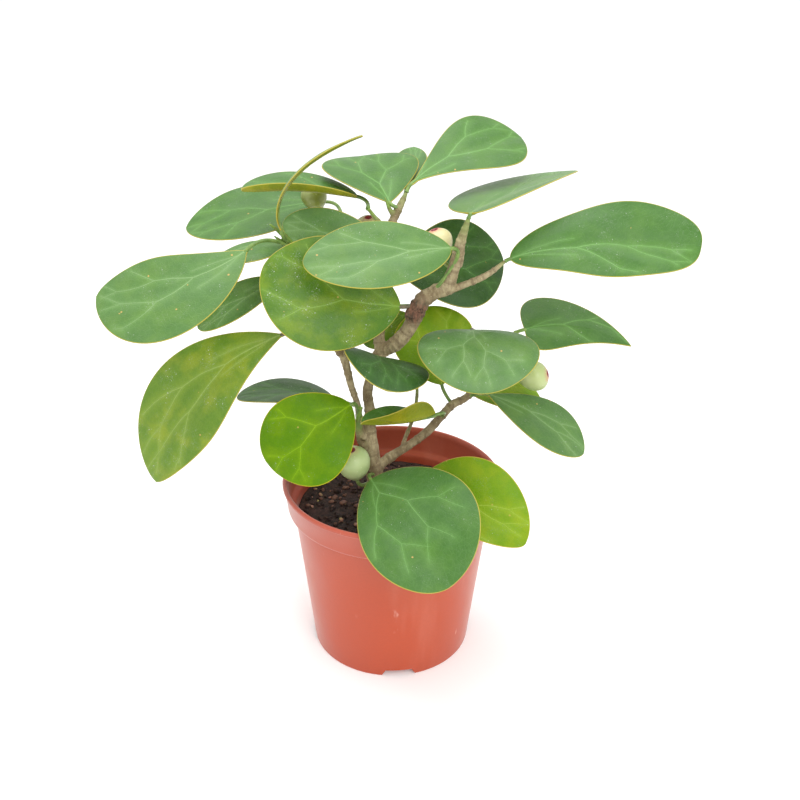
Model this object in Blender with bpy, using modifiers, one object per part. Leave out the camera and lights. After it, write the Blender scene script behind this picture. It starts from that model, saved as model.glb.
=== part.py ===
"""Potted mistletoe fig: a small woody shrub with broad leathery leaves and round figs, standing in soil in a
10 cm nursery pot. Lengths below are in millimetres; MM turns them into metres. +Z is up, the front of the plant
faces -Y, and the origin is the centre of the pot's base on the floor."""

import math

import bmesh
import bpy
import numpy as np
from mathutils import Matrix

MM = 0.001
GAP = 0.3
WELD = 0.000001
SHARP_ANGLE = 40.0

# Pot
POT_HEIGHT = 85.0
RIM_RADIUS = 50.0
BASE_RADIUS = 37.0
WALL_FLARE = 0.6
WALL_TOP_RADIUS = 45.0
COLLAR_FOOT = 71.0
COLLAR_RADIUS = 47.8
LIP_INNER_RADIUS = 47.7
FOOT_WIDTH = 1.8
WALL = 1.0
PLATE_UNDER = 3.5
PLATE_TOP = 5.0
POT_SIDES = 48
NOTCHES = 4
NOTCH_HEIGHT = 3.5
NOTCH_FLOOR_WIDTH = 15.7
NOTCH_TOP_WIDTH = 12.0
NOTCH_TURN = 6.0
NOTCH_DEPTH = 12.0
DRAIN_RADIUS = 3.0
DRAIN_RING = 20.0
DRAINS = 6
CUTTER_SIDES = 24
POT_LOOK = (0.52, 0.12, 0.06, 0.5)

# Soil
SOIL_RADIUS = 43.4
SOIL_LEVEL = 68.6
SOIL_DOME = 1.2
SOIL_RINGS = (8, 16, 24, 32, 38)
SOIL_SIDES = 40
SOIL_FOOT_IN = 0.4
TRUNK_HOLE_SPARE = 0.35
TRUNK_HOLE_DEEPER = 0.5
SOIL_LOOK = (0.03, 0.02, 0.014, 0.95)

# Leaves: blade thickness at the midrib and at the edge, petiole radius, and how the sections are laid out
BLADE_MID = 1.2
BLADE_EDGE = 0.7
PETIOLE = 0.8
TIP_HALF_WIDTH = 1.0
FOLD = 5
LEAF_STATIONS = 9
FIRST_STATION = 0.02
LAST_STATION = 0.97
LEAF_POINTS = 5
RIPPLES = 3
RIPPLE_LAG = 1.9
PETIOLE_STATIONS = 4
PETIOLE_END = 0.97
PETIOLE_BEND = 0.4
PETIOLE_ARC = 75.0
LEAF_LOOK = (0.08, 0.2, 0.05, 0.4)

# Woody stems and green shoots: name, then points (x, y, z, radius) from the parent outwards
STEMS = {
    "trunk": [(-6, -4, 58, 4.2), (-6, -4, 72, 4.1), (-8, -4, 90, 3.7), (-10, -3, 105, 3.3), (-10, -2, 119, 2.4),
              (-11, -1, 129, 2.2), (-8, 0, 141, 2.4), (-5, 0, 147, 3.1)],
    "branch_a": [(-8, 0, 143, 2.4), (-5, 0, 147, 3.1), (1, 0, 151, 3.2), (6, 0, 157, 3.2), (10, -1, 166, 3.8),
                 (12, -1, 171, 3.8), (18, 0, 175, 3.1), (22, 0, 177, 3.2), (25, -1, 186, 2.5), (26, -1, 189, 2.6),
                 (27, -2, 196, 2.1), (28, -2, 200, 1.8), (30, -2, 207, 0.9)],
    "branch_a_side": [(21, 0, 174, 1.6), (26, 0, 176.5, 1.5), (38, 0, 182, 1.3), (46, 0, 188.5, 0.5)],
    "burl": [(6, -1, 163, 1.5), (8, -3, 167, 3.2), (11, -3, 171, 3.0), (14, -2, 172, 1.4)],
    "branch_b": [(-5, 0, 146, 2.6), (-6, 3, 152, 2.5), (-6, 8, 168, 2.2), (-3, 12, 184, 2.0), (-1, 14, 199, 1.7),
                 (1, 15, 204, 1.6), (3, 16, 208, 1.4), (5, 18, 212, 0.5)],
    "twig_b_left": [(-3, 12, 184, 1.2), (-10, 19, 185, 1.1), (-18, 27, 187.5, 1.0), (-28.5, 36, 191, 0.6)],
    "twig_b_front": [(-1, 14, 196, 1.1), (-6, 14, 200, 1.0), (-11, 14, 206, 0.8)],
    "branch_left": [(-10, -3, 102, 2.0), (-14, -4, 106, 1.9), (-15, -6, 123, 1.5), (-18, -6, 134, 1.5),
                    (-21, -5, 147, 1.8), (-26, 0, 157, 1.6), (-33, 6, 174, 1.4), (-40, 7, 188, 1.3),
                    (-45, 6, 196, 1.2), (-51, 4, 202, 0.6)],
    "stub": [(-20, -5, 146, 1.6), (-22, -7, 149, 1.7), (-24, -8, 152, 1.3)],
    "spur": [(-10, -3, 106, 1.7), (-13, -6, 109, 1.6), (-15, -7, 113, 1.5), (-15, -7, 118, 1.2),
             (-13, -7, 124, 0.6)],
    "branch_c": [(-7, -3, 90, 2.0), (-2, -1, 95, 2.1), (6, 2, 99, 2.0), (15, 5, 105, 2.0), (22, 8, 112, 2.0),
                 (27, 10, 117, 1.9), (33, 13, 119, 1.7), (42, 16, 126, 1.5), (49, 18, 138, 1.3), (54, 18, 149, 0.5)],
    "twig_d": [(-2, -1, 93, 1.3), (3, 6, 94, 1.1), (6, 12, 99, 1.0), (9, 16, 106, 0.9), (11, 18, 118, 0.8),
               (10, 20, 127, 0.5)],
    "shoot_low": [(-7, -5, 74, 1.4), (-9, -9, 77, 1.2), (-12, -12, 80, 1.0), (-13, -13, 84, 0.5)],
}
STEM_LOOK = (0.16, 0.13, 0.07, 0.7)
TUBE_BEVEL = 2
CUTTER_LOOK = (0.5, 0.5, 0.5, 0.5)

# Leaves: where the petiole leaves its stem, blade base, blade tip, the way the upper face looks, blade width,
# then how far the blade bows up and sideways, and its outline, fold, lopsidedness and twist towards the base
LEAVES = {
    "leaf_01": dict(stem=(-41, 7, 190), base=(-60, -4, 193), tip=(-122, -8, 174), face=(0, -1, 1), width=37,
                    rise=4, bow=3, sweep=-8, swell=1.3, round=0.6, lop=-0.2),
    "leaf_02": dict(stem=(-24, -3, 154), base=(-46, -8, 158), tip=(-102, -22, 94), face=(-0.3, -1, 0.8),
                    width=40, bow=5, sweep=11, swell=1.35, round=0.68),
    "leaf_03": dict(stem=(12, -1, 171), base=(3, -5.5, 170), tip=(-52, -13.5, 190), face=(0, -2, 1.1),
                    width=46, bow=3, sweep=-3, swell=1.2, round=0.55, lop=-0.05),
    "leaf_04": dict(stem=(15, -1, 173), base=(23, -7, 196), tip=(-35, -25, 195), face=(0.1, -0.8, 1), width=31,
                    bow=3, sweep=-1, swell=1.1, round=0.55, lop=-0.05),
    "leaf_05": dict(stem=(-43, 7, 193), base=(-46, 2, 200), tip=(-13, 14, 236), face=(-3.8, 0.56, 3.3),
                    width=22, bow=9.5, peak=0.36, swell=1.3, round=0.65, lop=0.7, fold=1),
    "leaf_06": dict(stem=(-11, 14, 206), base=(-16, 27, 207.5), tip=(-65, 25, 210.5), face=(0, -0.12, 1),
                    width=27, bow=3, swell=1.2, round=0.45),
    "leaf_07": dict(stem=(-24, 32, 189.5), base=(-33.9, 60.5, 195.5), tip=(-95.2, 49.5, 185.6),
                    face=(0, -0.3, 1), width=42, bow=3, sweep=-2, swell=1.1, round=0.6, lop=-0.05),
    "leaf_08": dict(stem=(-2.2, 12.8, 190), base=(-6.5, 9, 193.5), tip=(-47, 17, 198.5), face=(0, -1.2, 1),
                    width=20, bow=1, swell=1.2, round=0.5, lop=-0.05),
    "leaf_09": dict(stem=(2, 15, 206), base=(-2, 16, 208), tip=(-16, 54, 218), face=(0, -0.1, 1), width=43,
                    bow=2, swell=1.5, round=0.55, fold=7),
    "leaf_10": dict(stem=(5, 18, 212), base=(7, 20, 215), tip=(55, 50, 228), face=(-0.2, -0.7, 1), width=36,
                    bow=4, sweep=-1.5, swell=2.0, round=0.6),
    "leaf_11": dict(stem=(4, 17, 210), base=(5, 32, 210), tip=(8.5, 75, 217.7), face=(0, -0.2, 1), width=14,
                    bow=1, swell=1.4, round=0.6),
    "leaf_12": dict(stem=(30, -2, 207), base=(31, -1.5, 208.7), tip=(78, 40, 216), face=(-0.24, 0.11, 0.96),
                    width=40, rise=0, bow=1.5, swell=0.7, round=0.5, lop=-0.3),
    "leaf_13": dict(stem=(46, 0, 188.5), base=(48, 0, 189.5), tip=(124, -6, 197), face=(0.1, -1, 1), width=33,
                    bow=1, sweep=-5, swell=1.5, round=0.36, wave=1.5),
    "leaf_14": dict(stem=(-3, 13, 184), base=(0, 26, 176), tip=(49, 40, 176), face=(0, -1, 0.8), width=42,
                    bow=3, swell=1.3, round=0.6, lop=0.1),
    "leaf_15": dict(stem=(54, 18, 149), base=(58, 17, 151), tip=(104.5, 10, 146.5), face=(0.1, -1, 1),
                    width=29, sweep=-5, swell=0.42, round=0.9, lop=-0.28, fold=-22),
    "leaf_16": dict(stem=(49, 18, 138), base=(34, 7, 154.5), tip=(36, -28, 141), face=(0.1, -0.9, 1), width=51,
                    bow=6, swell=1.1, round=0.5),
    "leaf_17": dict(stem=(-9, 0, 138), base=(-7, -5, 147), tip=(-2, -29, 142.5), face=(0.4, -0.08, 0.91),
                    width=39, bow=4, swell=0.95, round=0.45),
    "leaf_18": dict(stem=(-15, -7, 113), base=(-18, -9, 126), tip=(-54, -22, 105), face=(-0.1, -2, 1),
                    width=40, bow=5, swell=1.2, round=0.52, lop=-0.12),
    "leaf_19": dict(stem=(22, 8, 112), base=(19, -5, 119.5), tip=(-13.5, -15, 120), face=(-0.01, 0.08, 1),
                    width=19.5, bow=-2, swell=0.8, round=0.42, lop=0, fold=45, twist=-60),
    "leaf_20": dict(stem=(-7, -4, 88), base=(-9, -20, 95), tip=(24.5, -74, 79), face=(-0.33, -0.45, 0.83),
                    width=50, bow=6, swell=1.3, round=0.48, lop=-0.18),
    "leaf_21": dict(stem=(-7, -4, 84), base=(11, -19, 92), tip=(56.5, -45, 79.5), face=(-0.25, -0.73, 0.63),
                    width=32, bow=9, sweep=0, swell=1.05, round=0.53, lop=-0.45),
    "leaf_22": dict(stem=(33, 13, 119), base=(43, 10, 122), tip=(85, -6, 101), face=(0, -0.3, 1), width=27,
                    bow=3, swell=1.4, round=0.6, lop=-0.05),
    "leaf_23": dict(stem=(-15, -6, 123), base=(-27, 14, 117), tip=(-70, 8, 120), face=(0, 0.05, 1), width=28,
                    bow=3, swell=1.0, round=0.5),
    "leaf_24": dict(stem=(27, 10, 117), base=(22, 14, 125), tip=(15, 26, 158), face=(0, -2, 0.6), width=36,
                    bow=3, swell=1.3, round=0.55),
    "leaf_25": dict(stem=(31, 12, 119), base=(37, 22, 116), tip=(69, 26, 112), face=(0, -0.3, 1), width=24,
                    bow=2, swell=1.3, round=0.55),
    "leaf_26": dict(stem=(-38, 7, 184), base=(-50, 8, 176), tip=(-83, 0, 157), face=(0, -1, 1), width=15,
                    bow=3, swell=1.0, round=0.5),
    "leaf_27": dict(stem=(-41, 7, 190), base=(-44, 14, 190), tip=(-73, 8, 187), face=(0, -0.3, 1), width=16,
                    bow=3, swell=1.2, round=0.55, lop=-0.75),
    "leaf_28": dict(stem=(-6, 7, 164), base=(6, 32, 152), tip=(-14, 30, 138), face=(0, -1, 0.7), width=16,
                    bow=2, swell=1.2, round=0.55),
}

# Figs: where the stalk leaves its stem, narrow neck end, mouth end, radius
FIGS = {
    "fig_1": dict(stem=(26, -1, 187), neck=(20.5, 4, 188), mouth=(16.5, 4, 200.5), radius=6.1),
    "fig_2": dict(stem=(-28.5, 36, 191), neck=(-33.8, 49, 194.8), mouth=(-38, 46, 207), radius=5.8),
    "fig_3": dict(stem=(-3.5, 13.5, 186), neck=(-10.6, 26, 188), mouth=(-11.2, 23, 199.7), radius=6.0),
    "fig_4": dict(stem=(49, 18, 137), neck=(56, 13, 128), mouth=(69, 10, 133), radius=6.6),
    "fig_5": dict(stem=(-8, -4, 86), neck=(-15.6, -10, 89), mouth=(-18, -13, 106), radius=7.4),
}
FIG_LOOK = (0.45, 0.5, 0.2, 0.4)
# How far behind the neck the stalk comes round, as a share of the fig's length
STALK_ROUND = 0.4
STALK_STATIONS = 3
STALK_END = 0.9
STALK_SIDE = (0.2, 1.0, 0.3)
# Share of the way from neck to mouth, and share of the radius
FIG_SHAPE = [(0.0, 0.16), (0.12, 0.4), (0.3, 0.76), (0.5, 0.97),
             (0.68, 1.0), (0.84, 0.82), (0.94, 0.52), (1.0, 0.2)]


def clear_scene():
    for obj in list(bpy.data.objects):
        bpy.data.objects.remove(obj)


def new_collection(name):
    made = bpy.data.collections.new(name)
    bpy.context.scene.collection.children.link(made)
    return made


def material(name, look):
    """A Principled material; look is (red, green, blue, roughness)."""
    made = bpy.data.materials.new(name)
    made.use_nodes = True
    shader = made.node_tree.nodes["Principled BSDF"]
    shader.inputs["Base Color"].default_value = (*look[:3], 1)
    shader.inputs["Roughness"].default_value = look[3]
    shader.inputs["Metallic"].default_value = 0
    return made


def unit(vector):
    vector = np.asarray(vector, float)
    return vector / np.linalg.norm(vector)


def add_object(name, mesh, collection, look):
    obj = bpy.data.objects.new(name, mesh)
    collection.objects.link(obj)
    mesh.materials.append(material(name, look))
    mesh.shade_smooth()
    mesh.set_sharp_from_angle(angle=math.radians(SHARP_ANGLE))
    return obj


def mesh_of(name, shape):
    """A mesh with outward faces from a bmesh in millimetres."""
    bmesh.ops.scale(shape, vec=(MM, MM, MM), verts=shape.verts)
    bmesh.ops.recalc_face_normals(shape, faces=shape.faces)
    mesh = bpy.data.meshes.new(name)
    shape.to_mesh(mesh)
    shape.free()
    return mesh


def add_cutter(name, mesh, cutters):
    obj = add_object(name, mesh, cutters, CUTTER_LOOK)
    obj.hide_render = True
    obj.display_type = "WIRE"
    return obj


def boolean(obj, other, operation):
    step = obj.modifiers.new(other.name, "BOOLEAN")
    step.object = other
    step.operation = operation
    step.solver = "EXACT"


def upright_cylinder(name, place, bottom, top, radius):
    """A plain round cutter standing at place (x, y)."""
    shape = bmesh.new()
    bmesh.ops.create_cone(shape, cap_ends=True, segments=CUTTER_SIDES, radius1=radius, radius2=radius, depth=top - bottom)
    bmesh.ops.translate(shape, vec=(*place, (top + bottom) / 2), verts=shape.verts)
    return mesh_of(name, shape)


def turned(name, profile, steps, collection, look):
    """A solid of revolution; profile (radius, height) runs inside, over the top and down the outer side."""
    mesh = bpy.data.meshes.new(name)
    points = [(radius * MM, 0, height * MM) for radius, height in profile]
    mesh.from_pydata(points, [(i, i + 1) for i in range(len(points) - 1)], [])
    obj = add_object(name, mesh, collection, look)
    screw = obj.modifiers.new("turn", "SCREW")
    screw.steps = steps
    screw.render_steps = steps
    screw.use_merge_vertices = True
    screw.merge_threshold = 0.00005
    screw.use_smooth_shade = True
    return obj


def smooth_path(points, step_count):
    """Catmull-Rom curve through the points; each segment gives step_count points."""
    p = np.array(points, float)
    p = np.vstack([2 * p[0] - p[1], p, 2 * p[-1] - p[-2]])
    out = []
    for i in range(1, len(p) - 2):
        for t in np.arange(step_count) / step_count:
            a = 2 * p[i]
            b = p[i + 1] - p[i - 1]
            c = 2 * p[i - 1] - 5 * p[i] + 4 * p[i + 1] - p[i + 2]
            d = -p[i - 1] + 3 * p[i] - 3 * p[i + 1] + p[i + 2]
            out.append(0.5 * (a + b * t + c * t * t + d * t ** 3))
    out.append(p[-2])
    return np.array(out)


def tapered_tube(name, path):
    """Mesh of a round tube along (x, y, z, radius) points, with filled caps."""
    curve = bpy.data.curves.new(name, "CURVE")
    curve.dimensions = "3D"
    curve.bevel_depth = MM
    curve.bevel_resolution = TUBE_BEVEL
    curve.use_fill_caps = True
    spline = curve.splines.new("POLY")
    spline.points.add(len(path) - 1)
    for point, (x, y, z, radius) in zip(spline.points, path):
        point.co = (x * MM, y * MM, z * MM, 1)
        point.radius = radius
    guide = bpy.data.objects.new(name, curve)
    bpy.context.scene.collection.objects.link(guide)
    graph = bpy.context.evaluated_depsgraph_get()
    mesh = bpy.data.meshes.new_from_object(guide.evaluated_get(graph))
    bpy.data.objects.remove(guide)
    bpy.data.curves.remove(curve)
    shape = bmesh.new()
    shape.from_mesh(mesh)
    bmesh.ops.remove_doubles(shape, verts=shape.verts, dist=WELD)
    bmesh.ops.recalc_face_normals(shape, faces=shape.faces)
    shape.to_mesh(mesh)
    shape.free()
    return mesh


# Pot: thin tapered wall, collar with rolled lip, raised base plate with drain holes, notched foot ring
def build_pot(parts, cutters):
    floor_radius = BASE_RADIUS + WALL_FLARE
    profile = [
        (0, PLATE_TOP), (floor_radius - WALL, PLATE_TOP),
        (WALL_TOP_RADIUS - WALL, COLLAR_FOOT - 1), (WALL_TOP_RADIUS - 0.8, COLLAR_FOOT + 0.3),
        (COLLAR_RADIUS - WALL, COLLAR_FOOT + 1.6), (LIP_INNER_RADIUS, POT_HEIGHT - 0.7),
        (LIP_INNER_RADIUS + 0.5, POT_HEIGHT), (RIM_RADIUS - 0.6, POT_HEIGHT),
        (RIM_RADIUS, POT_HEIGHT - 0.6), (RIM_RADIUS, POT_HEIGHT - 1.4), (RIM_RADIUS - 0.3, POT_HEIGHT - 2.1),
        (RIM_RADIUS - 1.1, POT_HEIGHT - 2.4), (COLLAR_RADIUS, COLLAR_FOOT + 0.8),
        (WALL_TOP_RADIUS, COLLAR_FOOT - 0.4), (floor_radius, PLATE_TOP),
        (BASE_RADIUS, 0), (BASE_RADIUS - FOOT_WIDTH, 0), (BASE_RADIUS - FOOT_WIDTH - 0.4, PLATE_UNDER),
        (0, PLATE_UNDER),
    ]
    pot = turned("pot", profile, POT_SIDES, parts, POT_LOOK)
    for k in range(NOTCHES):
        turn = math.radians(NOTCH_TURN + k * 360 / NOTCHES)
        boolean(pot, add_cutter(f"notch_{k}", notch(f"notch_{k}", turn), cutters), "DIFFERENCE")
    for k in range(DRAINS):
        turn = 2 * math.pi * (k + 0.5) / DRAINS
        place = (DRAIN_RING * math.cos(turn), DRAIN_RING * math.sin(turn))
        drain = upright_cylinder(f"drain_{k}", place, PLATE_UNDER - 1, PLATE_TOP + 1, DRAIN_RADIUS)
        boolean(pot, add_cutter(f"drain_{k}", drain, cutters), "DIFFERENCE")


def notch(name, turn):
    """Block through the foot ring, narrower at its top; turn is counted from the front towards +X."""
    shape = bmesh.new()
    bmesh.ops.create_cube(shape, size=1)
    below = 1.0
    slope = (NOTCH_FLOOR_WIDTH - NOTCH_TOP_WIDTH) / NOTCH_HEIGHT
    for vert in shape.verts:
        if vert.co.z > 0:
            width, height = NOTCH_TOP_WIDTH, NOTCH_HEIGHT
        else:
            width, height = NOTCH_FLOOR_WIDTH + slope * below, -below
        vert.co = (vert.co.x * width, vert.co.y * NOTCH_DEPTH - BASE_RADIUS, height)
    bmesh.ops.rotate(shape, matrix=Matrix.Rotation(turn, 3, "Z"), verts=shape.verts)
    return mesh_of(name, shape)


# Soil: fills the pot below the collar, slightly domed, with a plain hole where the trunk stands
def build_soil(parts, cutters):
    profile = [(0, SOIL_LEVEL + SOIL_DOME)]
    for radius in SOIL_RINGS:
        profile.append((radius, SOIL_LEVEL + SOIL_DOME * (1 - (radius / SOIL_RADIUS) ** 2)))
    floor = PLATE_TOP + GAP
    profile += [(SOIL_RADIUS, SOIL_LEVEL), (BASE_RADIUS + WALL_FLARE - WALL - SOIL_FOOT_IN, floor), (0, floor)]
    soil = turned("soil", profile, SOIL_SIDES, parts, SOIL_LOOK)
    x, y, z, radius = STEMS["trunk"][0]
    bottom = z - TRUNK_HOLE_DEEPER
    top = SOIL_LEVEL + 2 * SOIL_DOME
    hole = upright_cylinder("trunk_hole", (x, y), bottom, top, radius + GAP + TRUNK_HOLE_SPARE)
    boolean(soil, add_cutter("trunk_hole", hole, cutters), "DIFFERENCE")


# Stems: trunk, branches and twigs joined into one woody body
def build_stems(parts, cutters):
    stems = None
    for name, points in STEMS.items():
        mesh = tapered_tube(name, smooth_path(points, 2))
        if stems is None:
            stems = add_object("stems", mesh, parts, STEM_LOOK)
        else:
            boolean(stems, add_cutter(name, mesh, cutters), "UNION")


def bark_segments():
    """Starts, ends and radii of all straight stem pieces, for keeping petioles clear of the bark."""
    starts, ends, radii = [], [], []
    for points in STEMS.values():
        path = smooth_path(points, 2)
        starts.append(path[:-1, :3])
        ends.append(path[1:, :3])
        radii.append(path[:, 3])
    first_radii = np.concatenate([r[:-1] for r in radii])
    last_radii = np.concatenate([r[1:] for r in radii])
    return np.concatenate(starts), np.concatenate(ends), first_radii, last_radii


def bark_distance(point, bark):
    starts, ends, first_radii, last_radii = bark
    along = ends - starts
    t = np.clip(((point - starts) * along).sum(1) / (along ** 2).sum(1), 0, 1)
    away = np.linalg.norm(starts + along * t[:, None] - point, axis=1)
    return (away - first_radii - (last_radii - first_radii) * t).min()


def clear_start(centre_at, ring_at, bark):
    """The last place along a petiole, counted 0 to 1, where its end ring would be closer to bark than GAP."""
    last = 0.0
    for t in np.linspace(0, 0.98, 99):
        if min(bark_distance(p, bark) for p in ring_at(t) + [centre_at(t)]) < GAP:
            last = t
    return last + 0.01


def petiole_ring(centre, side, normal):
    """Round section laid out like a blade section: LEAF_POINTS over the top, then as many below."""
    turns = [math.radians(PETIOLE_ARC) * v for v in np.linspace(-1, 1, LEAF_POINTS)]
    top = [centre + PETIOLE * (math.sin(a) * side + math.cos(a) * normal) for a in turns]
    under = [centre + PETIOLE * (math.sin(a) * side - math.cos(a) * normal) for a in reversed(turns)]
    return top + under


def blade_rings(spec):
    """Sections of the blade from base to tip, the line of its midrib, and the way its width runs."""
    base = np.array(spec["base"], float)
    chord = np.array(spec["tip"], float) - base
    normal = np.array(spec["face"], float)
    normal = unit(normal - unit(chord) * np.dot(normal, unit(chord)))
    side = np.cross(unit(chord), normal)
    u = (1 - np.cos(np.pi * np.linspace(FIRST_STATION, LAST_STATION, LEAF_STATIONS))) / 2
    power = math.log(0.5) / math.log(spec.get("peak", 0.5))
    bump = 4 * u ** power * (1 - u ** power)
    bow = spec.get("bow", 0)
    sweep = spec.get("sweep", 0)
    middle = base + np.outer(u, chord) + np.outer(bow * bump, normal) + np.outer(sweep * 4 * u * (1 - u), side)
    tangent = np.gradient(middle, u, axis=0)
    half = spec["width"] / 2 * np.sin(np.pi * u ** spec["swell"]) ** spec["round"]
    half = np.maximum(half, TIP_HALF_WIDTH)
    fold = math.radians(spec.get("fold", FOLD))
    rings = []
    for k in range(LEAF_STATIONS):
        along = unit(tangent[k])
        across = unit(side - along * np.dot(side, along))
        up = np.cross(across, along)
        turn = math.radians(spec.get("twist", 0)) * (1 - u[k]) ** 2
        level, upright = across, up
        across = level * math.cos(turn) + upright * math.sin(turn)
        up = upright * math.cos(turn) - level * math.sin(turn)
        top, under = [], []
        for v in np.linspace(-1, 1, LEAF_POINTS):
            reach = half[k] * (1 + spec.get("lop", 0) * np.sign(v))
            lift = reach * abs(v) * math.sin(fold)
            ripple = RIPPLES * math.pi * u[k] + (0 if v > 0 else RIPPLE_LAG)
            lift += spec.get("wave", 0) * v * v * math.sin(ripple) * math.sin(math.pi * u[k])
            point = middle[k] + across * reach * v * math.cos(fold) + up * lift
            thick = BLADE_EDGE + (BLADE_MID - BLADE_EDGE) * (1 - v * v)
            top.append(point + up * thick / 2)
            under.append(point - up * thick / 2)
        rings.append(top + under[::-1])
    return rings, middle, side


def loft(name, rings):
    """Mesh through sections of equal point count, with flat ends; quads are split alike on both faces."""
    shape = bmesh.new()
    rows = [[shape.verts.new(tuple(point)) for point in ring] for ring in rings]
    size = len(rings[0])
    for here, there in zip(rows, rows[1:]):
        for j in range(size):
            k = (j + 1) % size
            shape.faces.new((here[j], here[k], there[k]))
            shape.faces.new((here[j], there[k], there[j]))
    shape.faces.new(rows[0])
    shape.faces.new(rows[-1])
    return mesh_of(name, shape)


def build_leaf(name, spec, parts, bark):
    """One leaf: a round petiole from its stem that flattens into the blade."""
    rings, middle, side = blade_rings(spec)
    start = np.array(spec["stem"], float)
    end = middle[0]
    leave = unit(middle[1] - middle[0])
    bend = end - leave * PETIOLE_BEND * np.linalg.norm(end - start) + np.array([0, 0, spec.get("rise", 0)])

    def centre_at(t):
        return (1 - t) ** 2 * start + 2 * t * (1 - t) * bend + t * t * end

    def ring_at(t):
        along = unit(2 * (1 - t) * (bend - start) + 2 * t * (end - bend))
        across = unit(side - along * np.dot(side, along))
        return petiole_ring(centre_at(t), across, np.cross(across, along))

    first = clear_start(centre_at, ring_at, bark)
    petiole = [ring_at(t) for t in np.linspace(first, PETIOLE_END, PETIOLE_STATIONS)]
    add_object(name, loft(name, petiole + rings), parts, LEAF_LOOK)


def build_fig(name, spec, parts, bark):
    """A pear-shaped fruit on a short stalk, narrow at the neck and blunt at the mouth."""
    start = np.array(spec["stem"], float)
    neck = np.array(spec["neck"], float)
    axis = np.array(spec["mouth"], float) - neck
    bend = neck - STALK_ROUND * axis

    def centre_at(t):
        return (1 - t) ** 2 * start + 2 * t * (1 - t) * bend + t * t * neck

    def ring_at(t):
        along = unit(centre_at(t + 0.01) - centre_at(t - 0.01))
        across = unit(np.cross(along, STALK_SIDE))
        return petiole_ring(centre_at(t), across, np.cross(across, along))

    first = clear_start(centre_at, ring_at, bark)
    path = [(*centre_at(t), PETIOLE) for t in np.linspace(first, STALK_END, STALK_STATIONS)]
    path += [(*(neck + axis * t), wide * spec["radius"]) for t, wide in FIG_SHAPE]
    add_object(name, tapered_tube(name, path), parts, FIG_LOOK)


def build():
    clear_scene()
    parts = new_collection("parts")
    cutters = new_collection("cutters")
    cutters.hide_render = True
    build_pot(parts, cutters)
    build_soil(parts, cutters)
    build_stems(parts, cutters)
    bark = bark_segments()
    for name, spec in LEAVES.items():
        build_leaf(name, spec, parts, bark)
    for name, spec in FIGS.items():
        build_fig(name, spec, parts, bark)


build()
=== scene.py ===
"""The looks of a young mistletoe fig in a 10 cm nursery pot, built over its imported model. Lengths in the tables are
in millimetres and MM turns them into metres. The plant's front faces -Y and the pot stands on z = 0."""

import math

import bmesh
import bpy
import numpy as np
from mathutils import Matrix, Vector, kdtree, noise


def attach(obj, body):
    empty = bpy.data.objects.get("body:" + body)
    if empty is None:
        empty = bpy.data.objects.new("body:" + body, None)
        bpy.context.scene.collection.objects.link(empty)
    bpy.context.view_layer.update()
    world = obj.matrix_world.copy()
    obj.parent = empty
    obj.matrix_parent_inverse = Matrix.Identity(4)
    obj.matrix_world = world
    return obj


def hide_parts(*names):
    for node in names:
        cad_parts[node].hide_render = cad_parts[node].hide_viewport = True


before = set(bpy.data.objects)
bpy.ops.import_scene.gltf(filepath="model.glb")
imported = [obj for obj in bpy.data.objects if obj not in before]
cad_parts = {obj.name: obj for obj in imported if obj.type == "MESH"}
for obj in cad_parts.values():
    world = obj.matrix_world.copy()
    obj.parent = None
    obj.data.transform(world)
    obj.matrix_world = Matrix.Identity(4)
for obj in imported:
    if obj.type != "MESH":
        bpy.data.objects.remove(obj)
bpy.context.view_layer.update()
MM = 0.001


# Studio. A white paper sweep under the pot, one large soft box overhead, a smaller one in front, and the bright
# white room around it, as in a product photograph.
scene = bpy.context.scene
scene.view_settings.view_transform = "Standard"

room = bpy.data.worlds.new("white_room")
room.use_nodes = True
room.node_tree.nodes["Background"].inputs["Color"].default_value = (1.0, 1.0, 1.0, 1.0)
room.node_tree.nodes["Background"].inputs["Strength"].default_value = 1.0
scene.world = room


def soft_box(name, place, aim, size, power):
    """A square area light that looks from one point, in metres, at another."""
    light = bpy.data.lights.new(name, "AREA")
    light.size = size
    light.energy = power
    lamp = bpy.data.objects.new(name, light)
    lamp.location = place
    lamp.rotation_euler = (Vector(aim) - Vector(place)).to_track_quat("-Z", "Y").to_euler()
    scene.collection.objects.link(lamp)


soft_box("soft_box_above", (-0.10, 0.10, 0.95), (0, 0, 0.12), 0.7, 5.0)
soft_box("soft_box_front", (0.35, -0.75, 0.75), (0, 0, 0.10), 0.5, 4.0)

paper = bpy.data.materials.new("white_paper")
paper.use_nodes = True
paper_shader = paper.node_tree.nodes["Principled BSDF"]
paper_shader.inputs["Base Color"].default_value = (0.93, 0.93, 0.93, 1.0)
paper_shader.inputs["Roughness"].default_value = 0.9
paper_shader.inputs["Specular IOR Level"].default_value = 0.1
paper_shader.inputs["Emission Color"].default_value = (1.0, 1.0, 1.0, 1.0)
paper_shader.inputs["Emission Strength"].default_value = 0.10
bpy.ops.mesh.primitive_circle_add(vertices=96, radius=14.0, fill_type="NGON", location=(0, 0, 0))
floor = bpy.context.object
floor.name = "paper_sweep"
floor.data.materials.append(paper)

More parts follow.
